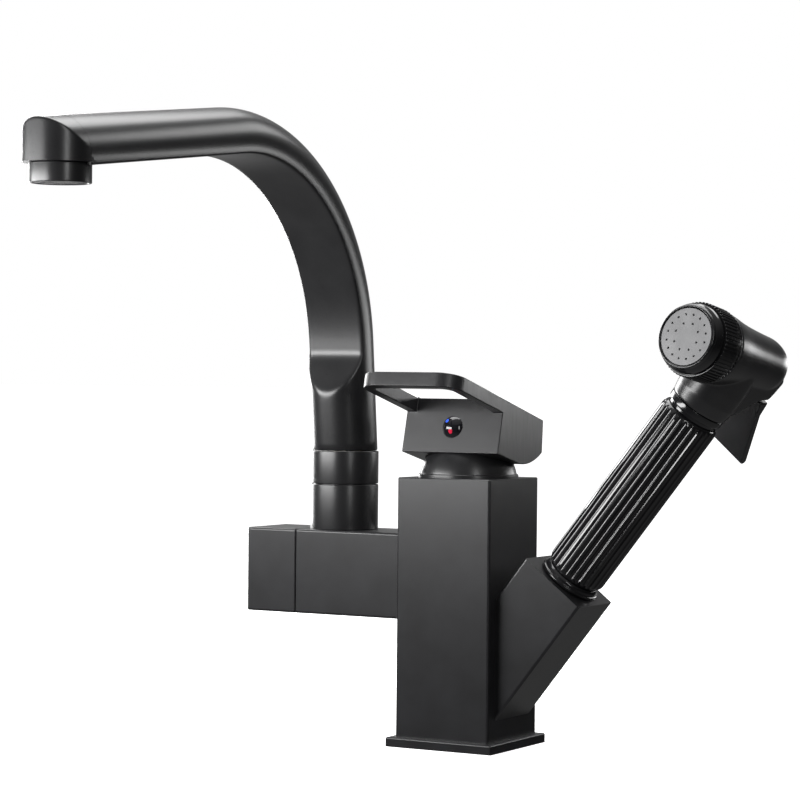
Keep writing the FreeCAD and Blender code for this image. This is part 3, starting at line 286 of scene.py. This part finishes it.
def loft(rings):
    """Points and faces of a closed skin over loops that have the same number of points."""
    count = len(rings[0])
    points = [p for ring in rings for p in ring]
    faces = []
    for i in range(len(rings) - 1):
        for k in range(count):
            j = (k + 1) % count
            faces.append((i * count + k, i * count + j, (i + 1) * count + j, (i + 1) * count + k))
    faces.append(tuple(reversed(range(count))))
    faces.append(tuple(range(len(points) - count, len(points))))
    return points, faces


def prism(outline, half_width):
    """Points and faces of a (Y, Z) outline pushed out along X, both ways."""
    left = [(-half_width, y, z) for y, z in outline]
    right = [(half_width, y, z) for y, z in outline]
    return loft([left, right])


def solid(name, shape, place):
    """A closed mesh object from points and faces in millimetres, in a frame in millimetres."""
    mesh = bpy.data.meshes.new(name)
    mesh.from_pydata(*[shape[0], [], shape[1]])
    built = bmesh.new()
    built.from_mesh(mesh)
    bmesh.ops.remove_doubles(built, verts=built.verts, dist=0.0005)
    bmesh.ops.recalc_face_normals(built, faces=built.faces)
    built.to_mesh(mesh)
    built.free()
    mesh.transform(place)
    mesh.transform(Matrix.Scale(MM, 4))
    piece = bpy.data.objects.new(name, mesh)
    bpy.context.scene.collection.objects.link(piece)
    return piece


def baked(piece):
    """Puts what the modifiers make into the piece's own mesh."""
    view = bpy.context.evaluated_depsgraph_get()
    mesh = bpy.data.meshes.new_from_object(piece.evaluated_get(view))
    piece.modifiers.clear()
    old = piece.data
    piece.data = mesh
    bpy.data.meshes.remove(old)


def carve(piece, cutter, how="DIFFERENCE"):
    """Cuts one mesh with another, or joins them, and removes the second."""
    tool = piece.modifiers.new("carve", "BOOLEAN")
    tool.operation = how
    tool.solver = "EXACT"
    tool.object = cutter
    baked(piece)
    bpy.data.objects.remove(cutter)


def melt(piece, others, voxel, rounds):
    """Joins overlapping closed meshes into one skin with soft inner corners."""
    for other in others:
        carve(piece, other, "UNION")
    skin = piece.modifiers.new("skin", "REMESH")
    skin.mode = "VOXEL"
    skin.voxel_size = voxel * MM
    soft = piece.modifiers.new("soft", "SMOOTH")
    soft.factor = 0.5
    soft.iterations = rounds
    baked(piece)


def soften(piece, width, steps=3, angle=28.0, skip=None, keep=None):
    """Merges flat faces, then rounds the sharp edges.

    Edges whose two ends pass the skip test stay sharp, and those that pass the keep test are left
    between flat faces, so that no face has to reach round a hole.
    """
    built = bmesh.new()
    built.from_mesh(piece.data)
    flat = math.radians(1.0)
    for edge in built.edges:
        edge.seam = keep is not None and all(keep(v.co / MM) for v in edge.verts)
    bmesh.ops.dissolve_limit(
        built, angle_limit=flat, verts=built.verts, edges=built.edges, delimit={"SEAM"}
    )
    limit = math.radians(angle)
    sharp = []
    for edge in built.edges:
        if len(edge.link_faces) != 2 or edge.calc_face_angle() < limit:
            continue
        if skip and all(skip(v.co / MM) for v in edge.verts):
            continue
        sharp.append(edge)
    bmesh.ops.bevel(
        built,
        geom=sharp,
        offset=width * MM,
        segments=steps,
        profile=0.5,
        affect="EDGES",
        clamp_overlap=True,
    )
    built.to_mesh(piece.data)
    built.free()


def show(piece, body, material, replaces, angle=35.0, weighted=False):
    """Shading, material, body and replaced nodes of a finished piece."""
    for face in piece.data.polygons:
        face.use_smooth = True
    piece.data.set_sharp_from_angle(angle=math.radians(angle))
    if weighted:
        even = piece.modifiers.new("even", "WEIGHTED_NORMAL")
        even.keep_sharp = True
        even.weight = 100
    piece.data.materials.clear()
    piece.data.materials.append(material)
    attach(piece, body)
    if replaces:
        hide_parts(*replaces)
    return piece


# --- spout --------------------------------------------------------------------------------
FLAT_BLEND = 1.3
NO_FLAT = TUBE_R + FLAT_BLEND + 0.1
FLAT_DELAY = 9.5


def d_section(radius, flat, centre, out, count=160):
    """A circle with a soft flat, its round side towards out, in the plane of out and X."""
    loop = []
    for k in range(count):
        turn = FULL_TURN * k / count
        r = radius
        if math.sin(turn) < -0.05:
            limit = flat / -math.sin(turn)
            h = max(0.0, min(1.0, 0.5 + 0.5 * (limit - radius) / FLAT_BLEND))
            r = limit * (1 - h) + radius * h - FLAT_BLEND * h * (1 - h)
        across = Vector((r * math.cos(turn), 0, 0))
        loop.append(tuple(centre + across + out * (r * math.sin(turn))))
    return loop


def spout():
    """The leaning foot, bend and falling run as one skin, and the outlet's nose."""
    rise = BEND_Z + BEND_R * math.sin(SPOUT_LEAN) - LEAN_FROM_Z
    bend_y = -BEND_R * math.cos(SPOUT_LEAN) - rise * math.tan(SPOUT_LEAN)
    bend_centre = Vector((SPOUT_X, bend_y, BEND_Z))
    out = Vector((0, math.cos(SPOUT_LEAN), math.sin(SPOUT_LEAN)))
    down = Vector((0, math.sin(SPOUT_LEAN), -math.cos(SPOUT_LEAN)))
    foot_top = bend_centre + out * BEND_R
    foot_length = rise / math.cos(SPOUT_LEAN)
    rings = []
    for up, inset in ((0.0, 0.5), (0.2, 0.2), (0.6, 0.0)):
        flat_ring = d_section(TUBE_R - inset, NO_FLAT, foot_top + down * foot_length, out)
        level = TUBE_LOW + up
        rings.append([tuple(Vector(p) + down * ((p[2] - level) / -down.z)) for p in flat_ring])
    steps = 40
    for k in range(steps + 1):
        back = (foot_length - 4.0) * (1 - k / steps)
        ramp = max(0.0, min(1.0, (FLAT_START - FLAT_DELAY - back) / (FLAT_START - FLAT_FULL)))
        ramp = ramp * ramp * (3 - 2 * ramp)
        flat = NO_FLAT * (1 - ramp) + TUBE_FLAT * ramp
        rings.append(d_section(TUBE_R, flat, foot_top + down * back, out))
    bend = math.pi / 2 + SPOUT_DROP - SPOUT_LEAN
    for k in range(1, 73):
        turn = SPOUT_LEAN + bend * k / 72
        out = Vector((0, math.cos(turn), math.sin(turn)))
        centre = bend_centre + out * BEND_R
        rings.append(d_section(TUBE_R, TUBE_FLAT, centre, out))
    ahead = Vector((0, -math.cos(SPOUT_DROP), -math.sin(SPOUT_DROP)))
    length = (REACH + centre.y) / math.cos(SPOUT_DROP)
    for k in range(1, 13):
        rings.append(d_section(TUBE_R, TUBE_FLAT, centre + ahead * (length * k / 12), out))
    tube = solid("spout_tube_skin", loft(rings), ROW)

    bar_top = 320
    bar = [(0, NOSE_LOW - 10), (NOSE_R, NOSE_LOW - 10), (NOSE_R, bar_top), (0, bar_top)]
    side_r = TUBE_R - 0.03

    def forward(turn, r, z):
        """The nose is widest at its front and as wide as the tube at its sides."""
        ahead_part = max(0.0, -math.sin(turn))
        return min(r, side_r - 0.05 + (NOSE_R - side_r) * ahead_part**2)

    nose = solid("nose", lathe(bar, 160, forward), NOSE_AXIS)
    arch = []
    for k in range(2):
        loop = []
        middle = centre + ahead * (length - 40 + 80 * k)
        for j in range(97):
            turn = math.pi * j / 96
            side = Vector((side_r * math.cos(turn), 0, 0))
            loop.append(tuple(middle + side + out * (side_r * math.sin(turn))))
        loop.append(tuple(middle + Vector((-side_r, 0, 0)) - out * 60))
        loop.append(tuple(middle + Vector((side_r, 0, 0)) - out * 60))
        arch.append(loop)
    carve(nose, solid("arch", loft(arch), ROW), "INTERSECT")
    melt(nose, [], 0.4, 12)
    inner = [(0, NOSE_LOW - 12), (30, NOSE_LOW - 12), (30, NOSE_LOW), (NOSE_MOUTH_R, NOSE_LOW)]
    inner += [(NOSE_MOUTH_R, NOSE_LOW + 6), (0, NOSE_LOW + 6)]
    carve(nose, solid("mouth", lathe(inner), NOSE_AXIS))
    show(nose, "spout", SPOUT_COATING, ["spout_nose"], angle=50)
    nose.name = "spout_nose_skin"
    show(tube, "spout", SPOUT_COATING, ["spout_tube"], angle=60)


def aerator():
    """The outlet's ring and the woven screen inside it."""
    profile = soft_line(
        [
            (AERATOR_BORE_R, AERATOR_LOW + 1.4),
            (AERATOR_BORE_R, AERATOR_LOW),
            (AERATOR_R, AERATOR_LOW),
            (AERATOR_R, NOSE_LOW - 0.25),
            (AERATOR_NECK_R, NOSE_LOW - 0.2),
            (AERATOR_NECK_R, NOSE_LOW + 4),
            (AERATOR_BORE_R, NOSE_LOW + 4),
            (AERATOR_BORE_R, AERATOR_LOW + 1.4),
        ],
        0.5,
    )
    ring = solid("aerator_ring", lathe(profile, 144), NOSE_AXIS)
    show(ring, "spout", SPOUT_COATING, ["aerator_housing"])
    pitch = 1.3
    wire = 0.22
    edge = AERATOR_BORE_R - 0.1
    low = AERATOR_LOW + 0.25
    shapes = []
    for k in range(-8, 9):
        at = k * pitch
        half = math.sqrt(edge**2 - at**2) if abs(at) < edge else 0
        if half < 1:
            continue
        rows = [(-wire, 0), (-wire, 2 * wire), (wire, 2 * wire), (wire, 0)]
        shapes.append([[(at + a, s, low + b) for a, b in rows] for s in (-half, half)])
        shapes.append([[(s, at + a, low + 0.15 + b) for a, b in rows] for s in (-half, half)])
    points = []
    faces = []
    for rings in shapes:
        some, more = loft(rings)
        faces += [tuple(i + len(points) for i in face) for face in more]
        points += some
    disc_r = AERATOR_BORE_R - 0.02
    disc_low = AERATOR_LOW + 1.1
    disc_high = AERATOR_LOW + 9
    disc = [(0, disc_low), (disc_r, disc_low), (disc_r, disc_high), (0, disc_high)]
    some, more = lathe(disc, 96)
    faces += [tuple(i + len(points) for i in face) for face in more]
    points += some
    mesh = solid("aerator_mesh", (points, faces), NOSE_AXIS)
    show(mesh, "spout", MESH_METAL, ["aerator_insert"])


def round_bar(r, low, high, corner):
    """The profile of a solid cylinder with soft rims."""
    return soft_line([(0, low), (r, low), (r, high), (0, high)], corner)


def collars():
    """The two rings under the spout, with the joint between them."""
    lower = round_bar(COLLAR_R, COLLAR_LOW, COLLAR_JOINT_LOW, 0.45)
    neck = round_bar(COLLAR_NECK_R, COLLAR_JOINT_LOW - 1.4, COLLAR_JOINT_HIGH + 1.2, 0.1)
    body = solid("collar_skin", lathe(lower, 144), SPOUT_AXIS)
    upper = round_bar(COLLAR_R, COLLAR_JOINT_HIGH, COLLAR_TOP, 0.45)
    ring = solid("collar_ring_skin", lathe(upper, 144), SPOUT_AXIS)
    carve(body, solid("neck", lathe(neck, 96), SPOUT_AXIS), "UNION")
    show(body, "stand", SPOUT_COATING, ["spout_collar"])
    show(ring, "stand", SPOUT_COATING, ["spout_collar_ring"])


# --- lever --------------------------------------------------------------------------------
def lever():
    """The wedge-shaped block with its open loop, and the pocket over the dome."""
    outline = [(-LEVER_FRONT, LEVER_FRONT_BOTTOM), (0.0, LEVER_BOTTOM)]
    knee_y, knee_h = LEVER_KNEE
    for k in range(1, 13):
        t = k / 12
        y = 2 * t * (1 - t) * knee_y + t**2 * LEVER_BACK
        h = (1 - t) ** 2 * LEVER_BOTTOM + 2 * t * (1 - t) * knee_h + t**2 * LEVER_BACK_BOTTOM
        outline.append((y, h))
    outline += [(LEVER_BACK_TOP, LEVER_TOP), (-LEVER_FRONT, LEVER_TOP)]
    block = solid("lever_skin", prism(outline, LEVER_HALF_W), LEVER)

    def corner(x, y, radius, first):
        turns = [first + math.pi / 2 * k / 14 for k in range(15)]
        return [(x + radius * math.cos(a), y + radius * math.sin(a)) for a in turns]

    def bar_side(half, front, radius):
        """One side of the loop's bar, from inside the block round to the block again."""
        inside = -LEVER_FRONT + 3
        side = [(-half, inside)] + corner(-half + radius, front + radius, radius, math.pi)
        return side + corner(half - radius, front + radius, radius, 1.5 * math.pi) + [(half, inside)]

    outer = bar_side(LEVER_HALF_W, -LOOP_FRONT, LOOP_OUTER_R)
    inner = bar_side(LEVER_HALF_W - LOOP_SIDE_BAR, -LOOP_FRONT + LOOP_FRONT_BAR, LOOP_INNER_R)
    rings = []
    for o, i in zip(outer, inner):
        rings.append([(*o, LOOP_LOW), (*o, LEVER_TOP), (*i, LEVER_TOP), (*i, LOOP_LOW)])
    loop = solid("loop", loft(rings), LEVER)
    carve(block, loop, "UNION")
    ball = []
    for k in range(25):
        turn = math.pi * k / 24 - math.pi / 2
        ball.append((LEVER_POCKET_R * math.cos(turn), LEVER_POCKET_R * math.sin(turn)))
    carve(block, solid("pocket", lathe(ball, 96), LEVER))

    inverse = LEVER.inverted()

    def in_pocket(point):
        return (inverse @ point).length < LEVER_POCKET_R + 0.05

    def level(point):
        height = (inverse @ point).z
        return abs(height - LEVER_TOP) < 0.01 or abs(height - LOOP_LOW) < 0.01

    soften(block, 0.45, skip=in_pocket, keep=level)
    show(
        block,
        "lever",
        COATING_BRUSHED,
        ["lever_handle"],
        angle=40,
        weighted=True,
    )


def dome():
    """The ball-shaped cover, from the hole for the stem down to its rim."""
    profile = [(DOME_HOLE_R, DOME_TOP)]
    for k in range(33):
        turn = math.radians(46.5 - 36.5 * k / 32)
        profile.append((DOME_R * math.cos(turn), PIVOT_Z + DOME_R * math.sin(turn)))
    rim = [(23.5, 130.35), (DOME_RIM_R, 130.1), (DOME_RIM_R, DOME_RIM_LOW)]
    profile += soft_line(rim, 0.3)
    profile += [(20.4, DOME_RIM_LOW), (20.4, 135)]
    profile += [(DOME_HOLE_R, 141.0), (DOME_HOLE_R, DOME_TOP)]
    cover = solid("dome_skin", lathe(profile, 160), ROW)
    show(cover, "stand", SPOUT_COATING, ["bonnet_dome"])


# --- hand spray ---------------------------------------------------------------------------
FLUTES = 28
FLUTE_R = 1.15
FLUTE_CENTRE_OUT = 0.25
KNURLS = 60
KNURL_ROOT_R = 16.8
KNURL_DEPTH = 0.75


def flute(turn, r, z):
    """The grip's radius with its round-bottomed flutes."""
    pitch = FULL_TURN / FLUTES
    across = ((turn % pitch) - pitch / 2) * GRIP_R
    cut = math.sqrt(max(0.0, FLUTE_R**2 - across**2)) - FLUTE_CENTRE_OUT
    if r < GRIP_END_R - 0.05 or cut < 0:
        return r
    return min(r, GRIP_R - cut)


def knurl(turn, r, z):
    """The band's radius with its straight grooves."""
    if r < KNURL_ROOT_R:
        return r
    pitch = FULL_TURN / KNURLS
    across = abs((turn % pitch) - pitch / 2) * KNURL_R
    return r - KNURL_DEPTH * max(0.0, min(1.0, (0.6 - across) / 0.22))


def grip():
    """The fluted sleeve, the lip below it and the ring above it."""
    sleeve = soft_line(
        [
            (GRIP_BORE_R, GRIP_LOW + 0.02),
            (GRIP_END_R, GRIP_LOW + 0.02),
            (GRIP_R, GRIP_LOW + 2.8),
            (GRIP_R, GRIP_HIGH - 2.8),
            (GRIP_END_R, GRIP_HIGH - 0.02),
            (GRIP_BORE_R, GRIP_HIGH - 0.02),
        ],
        1.2,
        6,
    )
    sleeve.append(sleeve[0])
    skin = solid("grip_skin", lathe(sleeve, FLUTES * 16, flute), SPRAY)
    show(skin, "spray", GLOSS, ["grip_sleeve"])
    collar = soft_line(
        [
            (7.2, 0.4),
            (15.0, 0.4),
            (15.0, 1.75),
            (14.2, 2.0),
            (13.9, 3.4),
            (13.0, GRIP_LOW),
            (7.2, GRIP_LOW),
        ],
        0.35,
    )
    collar.append(collar[0])
    base = solid("grip_collar_skin", lathe(collar, 144), SPRAY)
    skirt = soft_line([(7.2, -9.0), (12.0, -9.0), (12.0, 1.0), (7.2, 1.0)], 0.3)
    skirt.append(skirt[0])
    carve(base, solid("skirt", lathe(skirt, 144), SPRAY), "UNION")
    show(base, "spray", GLOSS, ["grip_collar"])
    neck = soft_line(
        [
            (8.0, GRIP_HIGH),
            (12.4, GRIP_HIGH),
            (12.4, GRIP_HIGH + 1.7),
            (13.8, GRIP_HIGH + 2.1),
            (13.9, NECK_TOP - 0.1),
            (8.0, NECK_TOP - 0.1),
        ],
        0.4,
    )
    neck.append(neck[0])
    show(solid("neck_ring_skin", lathe(neck, 144), SPRAY), "spray", GLOSS, ["neck_ring"])


def spray_head():
    """The barrel, neck and heel melted into one casting, with the trigger's slot."""
    barrel = [
        (0, 33.6),
        (14.8, 33.6),
        (14.8, KNURL_LOW - 0.6),
        (17.0, KNURL_LOW - 0.6),
        (16.4, 16),
        (15.2, 8),
        (14.4, 0),
        (13.8, -10),
        (13.4, -22),
        (11.8, -27.6),
        (7.6, -30.8),
        (0, -31.5),
    ]
    head = solid("spray_head_skin", lathe(soft_line(barrel, 3.0, 8), 96), NOZZLE)
    neck = [
        (0, NECK_TOP),
        (13.6, NECK_TOP),
        (14.1, NECK_TOP + 0.6),
        (15.1, 113),
        (15.1, 120),
        (14.1, 134),
        (0, 134),
    ]
    heel = [
        (0, 108.5),
        (10.5, 109.5),
        (14.5, 113.5),
        (19.0, 119.0),
        (23.0, 121.6),
        (28.2, 122.3),
        (29.0, 127),
        (30.0, 134),
        (24, 139),
        (0, 139),
    ]
    neck = solid("neck", lathe(neck, 96), SPRAY)
    heel = solid("heel", prism(heel, 12.0), SPRAY)
    soften(heel, 2.0, 4, 20.0)
    melt(head, [neck, heel], 0.45, 7)
    slot = [(19.2, 117.0), (27.2, 117.0), (27.2, 129.5), (19.2, 129.5)]
    carve(head, solid("slot", prism(slot, 8.4), SPRAY))
    show(head, "spray", SPOUT_COATING, ["spray_head_body"], angle=60)


def trigger():
    """The squeeze plate and the tongue that reaches the valve."""
    outer = [(28.6, 121.8), (29.8, 114.5), (34.1, 107.0), (39.0, 98.6), (43.8, 90.2)]
    tip = [(44.0, 89.0), (43.4, 87.8), (42.2, 87.3), (41.2, 88.0)]
    inner = [(36.4, 97.0), (32.0, 105.2), (27.8, 113.0), (24.0, 120.2)]
    plate = solid("trigger_skin", prism(outer + tip + inner, 11.8), SPRAY)
    soften(plate, 0.7, 3, 40.0)
    tongue = [(23.6, 119.0), (27.0, 119.0), (26.8, 125.5), (26.0, 126.4), (23.6, 126.4)]
    carve(plate, solid("tongue", prism(tongue, 8.0), SPRAY), "UNION")
    show(plate, "squeeze", COATING, ["trigger"], angle=40, weighted=True)


def nozzle():
    """The knurled band and the stepped rim round the spray face."""
    band = soft_line(
        [
            (15.0, KNURL_LOW),
            (16.9, KNURL_LOW),
            (KNURL_R, KNURL_LOW + 0.6),
            (KNURL_R, KNURL_HIGH - 0.8),
            (16.9, KNURL_HIGH - 0.1),
            (15.0, KNURL_HIGH - 0.1),
        ],
        0.3,
        3,
    )
    band.append(band[0])
    ring = solid("knurled_band", lathe(band, KNURLS * 10, knurl), NOZZLE)
    show(ring, "spray", GLOSS, ["knurled_ring"])
    bezel = soft_line(
        [
            (13.35, KNURL_HIGH - 0.8),
            (14.8, KNURL_HIGH - 0.8),
            (14.8, KNURL_HIGH + 0.1),
            (16.1, KNURL_HIGH + 0.1),
            (16.2, KNURL_HIGH + 1.6),
            (15.9, KNURL_HIGH + 3.2),
            (15.1, KNURL_HIGH + 4.7),
            (14.8, KNURL_HIGH + 5.0),
            (14.8, KNURL_HIGH + 5.7),
            (14.5, FACE_OUT - 0.1),
            (13.9, FACE_OUT + 0.15),
            (13.35, FACE_OUT - 0.3),
            (13.35, KNURL_HIGH - 0.8),
        ],
        0.35,
        3,
    )
    bezel.append(bezel[0])
    show(solid("bezel_skin", lathe(bezel, 160), NOZZLE), "spray", GLOSS, ["face_bezel"])


def carried_over():
    """Smooth shading and a real finish for every node that is shown as it is."""
    slots = {row["node"]: row["material_slot"] for row in frame["record"]["subparts"]}
    for name, node in NODES.items():
        for face in node.data.polygons:
            face.use_smooth = True
        node.data.set_sharp_from_angle(angle=math.radians(30))
        node.data.materials.clear()
        node.data.materials.append(SLOT_FINISH[slots[name]])
    NODES["dock_liner"].data.materials[0] = DARK_PLASTIC
    NODES["hose_nut"].data.materials[0] = STEEL
    for name in ("body_column", "base_plate", "dock_block", "arm_block", "diverter_knob"):
        even = NODES[name].modifiers.new("even", "WEIGHTED_NORMAL")
        even.keep_sharp = True
        even.weight = 100


# --- camera, floor and light --------------------------------------------------------------
def camera():
    """The eye, a little right of the front, almost level and far off."""
    yaw = math.radians(29.83)
    pitch = math.radians(-0.49)
    roll = math.radians(0.56)
    right = Vector((math.cos(yaw), math.sin(yaw), 0))
    level_ahead = Vector((-math.sin(yaw), math.cos(yaw), 0))
    ahead = level_ahead * math.cos(pitch) + Vector((0, 0, math.sin(pitch)))
    up = right.cross(ahead)
    turned_right = right * math.cos(roll) + up * math.sin(roll)
    turned_up = up * math.cos(roll) - right * math.sin(roll)
    view = Matrix((turned_right, turned_up, -ahead)).transposed().to_4x4()
    view.translation = Vector((0.616911, -1.142732, 0.176401))
    data = bpy.data.cameras.new("camera")
    data.sensor_width = 36.0
    data.lens = 121.54
    data.clip_start = 0.05
    eye = bpy.data.objects.new("camera", data)
    eye.matrix_world = view
    bpy.context.scene.collection.objects.link(eye)
    bpy.context.scene.camera = eye


def floor():
    """A plain white ground."""
    size = 30.0
    mesh = bpy.data.meshes.new("floor")
    corners = [(-size, -size, 0), (size, -size, 0), (size, size, 0), (-size, size, 0)]
    mesh.from_pydata(corners, [], [(0, 1, 2, 3)])
    plane = bpy.data.objects.new("floor", mesh)
    bpy.context.scene.collection.objects.link(plane)
    pale = bpy.data.materials.new("floor_pale")
    pale.use_nodes = True
    shader = pale.node_tree.nodes["Principled BSDF"]
    shader.inputs["Base Color"].default_value = (0.85, 0.85, 0.85, 1)
    shader.inputs["Roughness"].default_value = 0.9
    shader.inputs["Emission Color"].default_value = (1, 1, 1, 1)
    shader.inputs["Emission Strength"].default_value = 0.95
    mesh.materials.append(pale)
    plane.visible_glossy = False
    plane.visible_diffuse = False


def sky():
    """White to the camera; for everything else dark at eye level, light above and behind."""
    world = bpy.data.worlds.new("studio")
    bpy.context.scene.world = world
    world.use_nodes = True
    tree = world.node_tree
    tree.nodes.clear()
    out = tree.nodes.new("ShaderNodeOutputWorld")
    mix = tree.nodes.new("ShaderNodeMixShader")
    path = tree.nodes.new("ShaderNodeLightPath")
    seen = tree.nodes.new("ShaderNodeBackground")
    seen.inputs["Color"].default_value = (1, 1, 1, 1)
    soft = tree.nodes.new("ShaderNodeBackground")
    coords = tree.nodes.new("ShaderNodeTexCoord")
    split = tree.nodes.new("ShaderNodeSeparateXYZ")
    height = tree.nodes.new("ShaderNodeMapRange")
    height.inputs["From Min"].default_value = -1.0
    ramp = tree.nodes.new("ShaderNodeValToRGB")
    ramp.color_ramp.elements[0].color = (0.30, 0.30, 0.30, 1)
    ramp.color_ramp.elements[1].color = (0.60, 0.60, 0.60, 1)
    for place, level in ((0.36, 0.02), (0.52, 0.012), (0.7, 0.10)):
        stop = ramp.color_ramp.elements.new(place)
        stop.color = (level, level, level, 1)
    along = tree.nodes.new("ShaderNodeVectorMath")
    along.operation = "DOT_PRODUCT"
    along.inputs[1].default_value = (-0.497, 0.867, 0.0)
    backdrop = tree.nodes.new("ShaderNodeMapRange")
    backdrop.interpolation_type = "SMOOTHSTEP"
    backdrop.inputs["From Min"].default_value = 0.62
    backdrop.inputs["From Max"].default_value = 0.98
    backdrop.inputs["To Max"].default_value = 0.35
    both = tree.nodes.new("ShaderNodeMath")
    both.operation = "MAXIMUM"
    tree.links.new(coords.outputs["Generated"], split.inputs["Vector"])
    tree.links.new(split.outputs["Z"], height.inputs["Value"])
    tree.links.new(height.outputs["Result"], ramp.inputs["Fac"])
    tree.links.new(coords.outputs["Generated"], along.inputs[0])
    tree.links.new(along.outputs["Value"], backdrop.inputs["Value"])
    tree.links.new(ramp.outputs["Color"], both.inputs[0])
    tree.links.new(backdrop.outputs["Result"], both.inputs[1])
    tree.links.new(both.outputs["Value"], soft.inputs["Color"])
    tree.links.new(path.outputs["Is Camera Ray"], mix.inputs["Fac"])
    tree.links.new(soft.outputs["Background"], mix.inputs[1])
    tree.links.new(seen.outputs["Background"], mix.inputs[2])
    tree.links.new(mix.outputs["Shader"], out.inputs["Surface"])


def lamp(name, place, target, width, height, power):
    """A soft box aimed at a point."""
    data = bpy.data.lights.new(name, "AREA")
    data.shape = "RECTANGLE"
    data.size = width
    data.size_y = height
    data.energy = power
    box = bpy.data.objects.new(name, data)
    box.location = place
    aim = Vector(target) - Vector(place)
    box.rotation_euler = aim.to_track_quat("-Z", "Y").to_euler()
    bpy.context.scene.collection.objects.link(box)


def studio():
    """Soft boxes: a low key at the front left, two strips behind, one above, two at the sides."""
    lamp("key_low", (-0.30, -0.40, 0.215), (0, 0, 0.20), 0.46, 0.12, 3.2)
    lamp("back_low", (0.26, 0.44, 0.20), (0, 0, 0.165), 0.32, 0.07, 0.42)
    lamp("back_high", (0.20, 0.44, 0.62), (-0.07, -0.12, 0.29), 0.35, 0.16, 0.75)
    lamp("top", (-0.25, 0.22, 1.05), (-0.05, -0.1, 0.2), 0.8, 0.8, 10)
    lamp("left_side", (-0.85, 0.40, 0.38), (0, 0, 0.2), 0.5, 0.8, 14)
    lamp("strip_right", (0.75, -0.68, 0.42), (0, 0, 0.2), 0.12, 0.6, 2.1)


camera()
floor()
sky()
studio()
carried_over()
spout()
aerator()
collars()
lever()
dome()
grip()
spray_head()
trigger()
nozzle()
bpy.context.scene.view_settings.view_transform = "Standard"
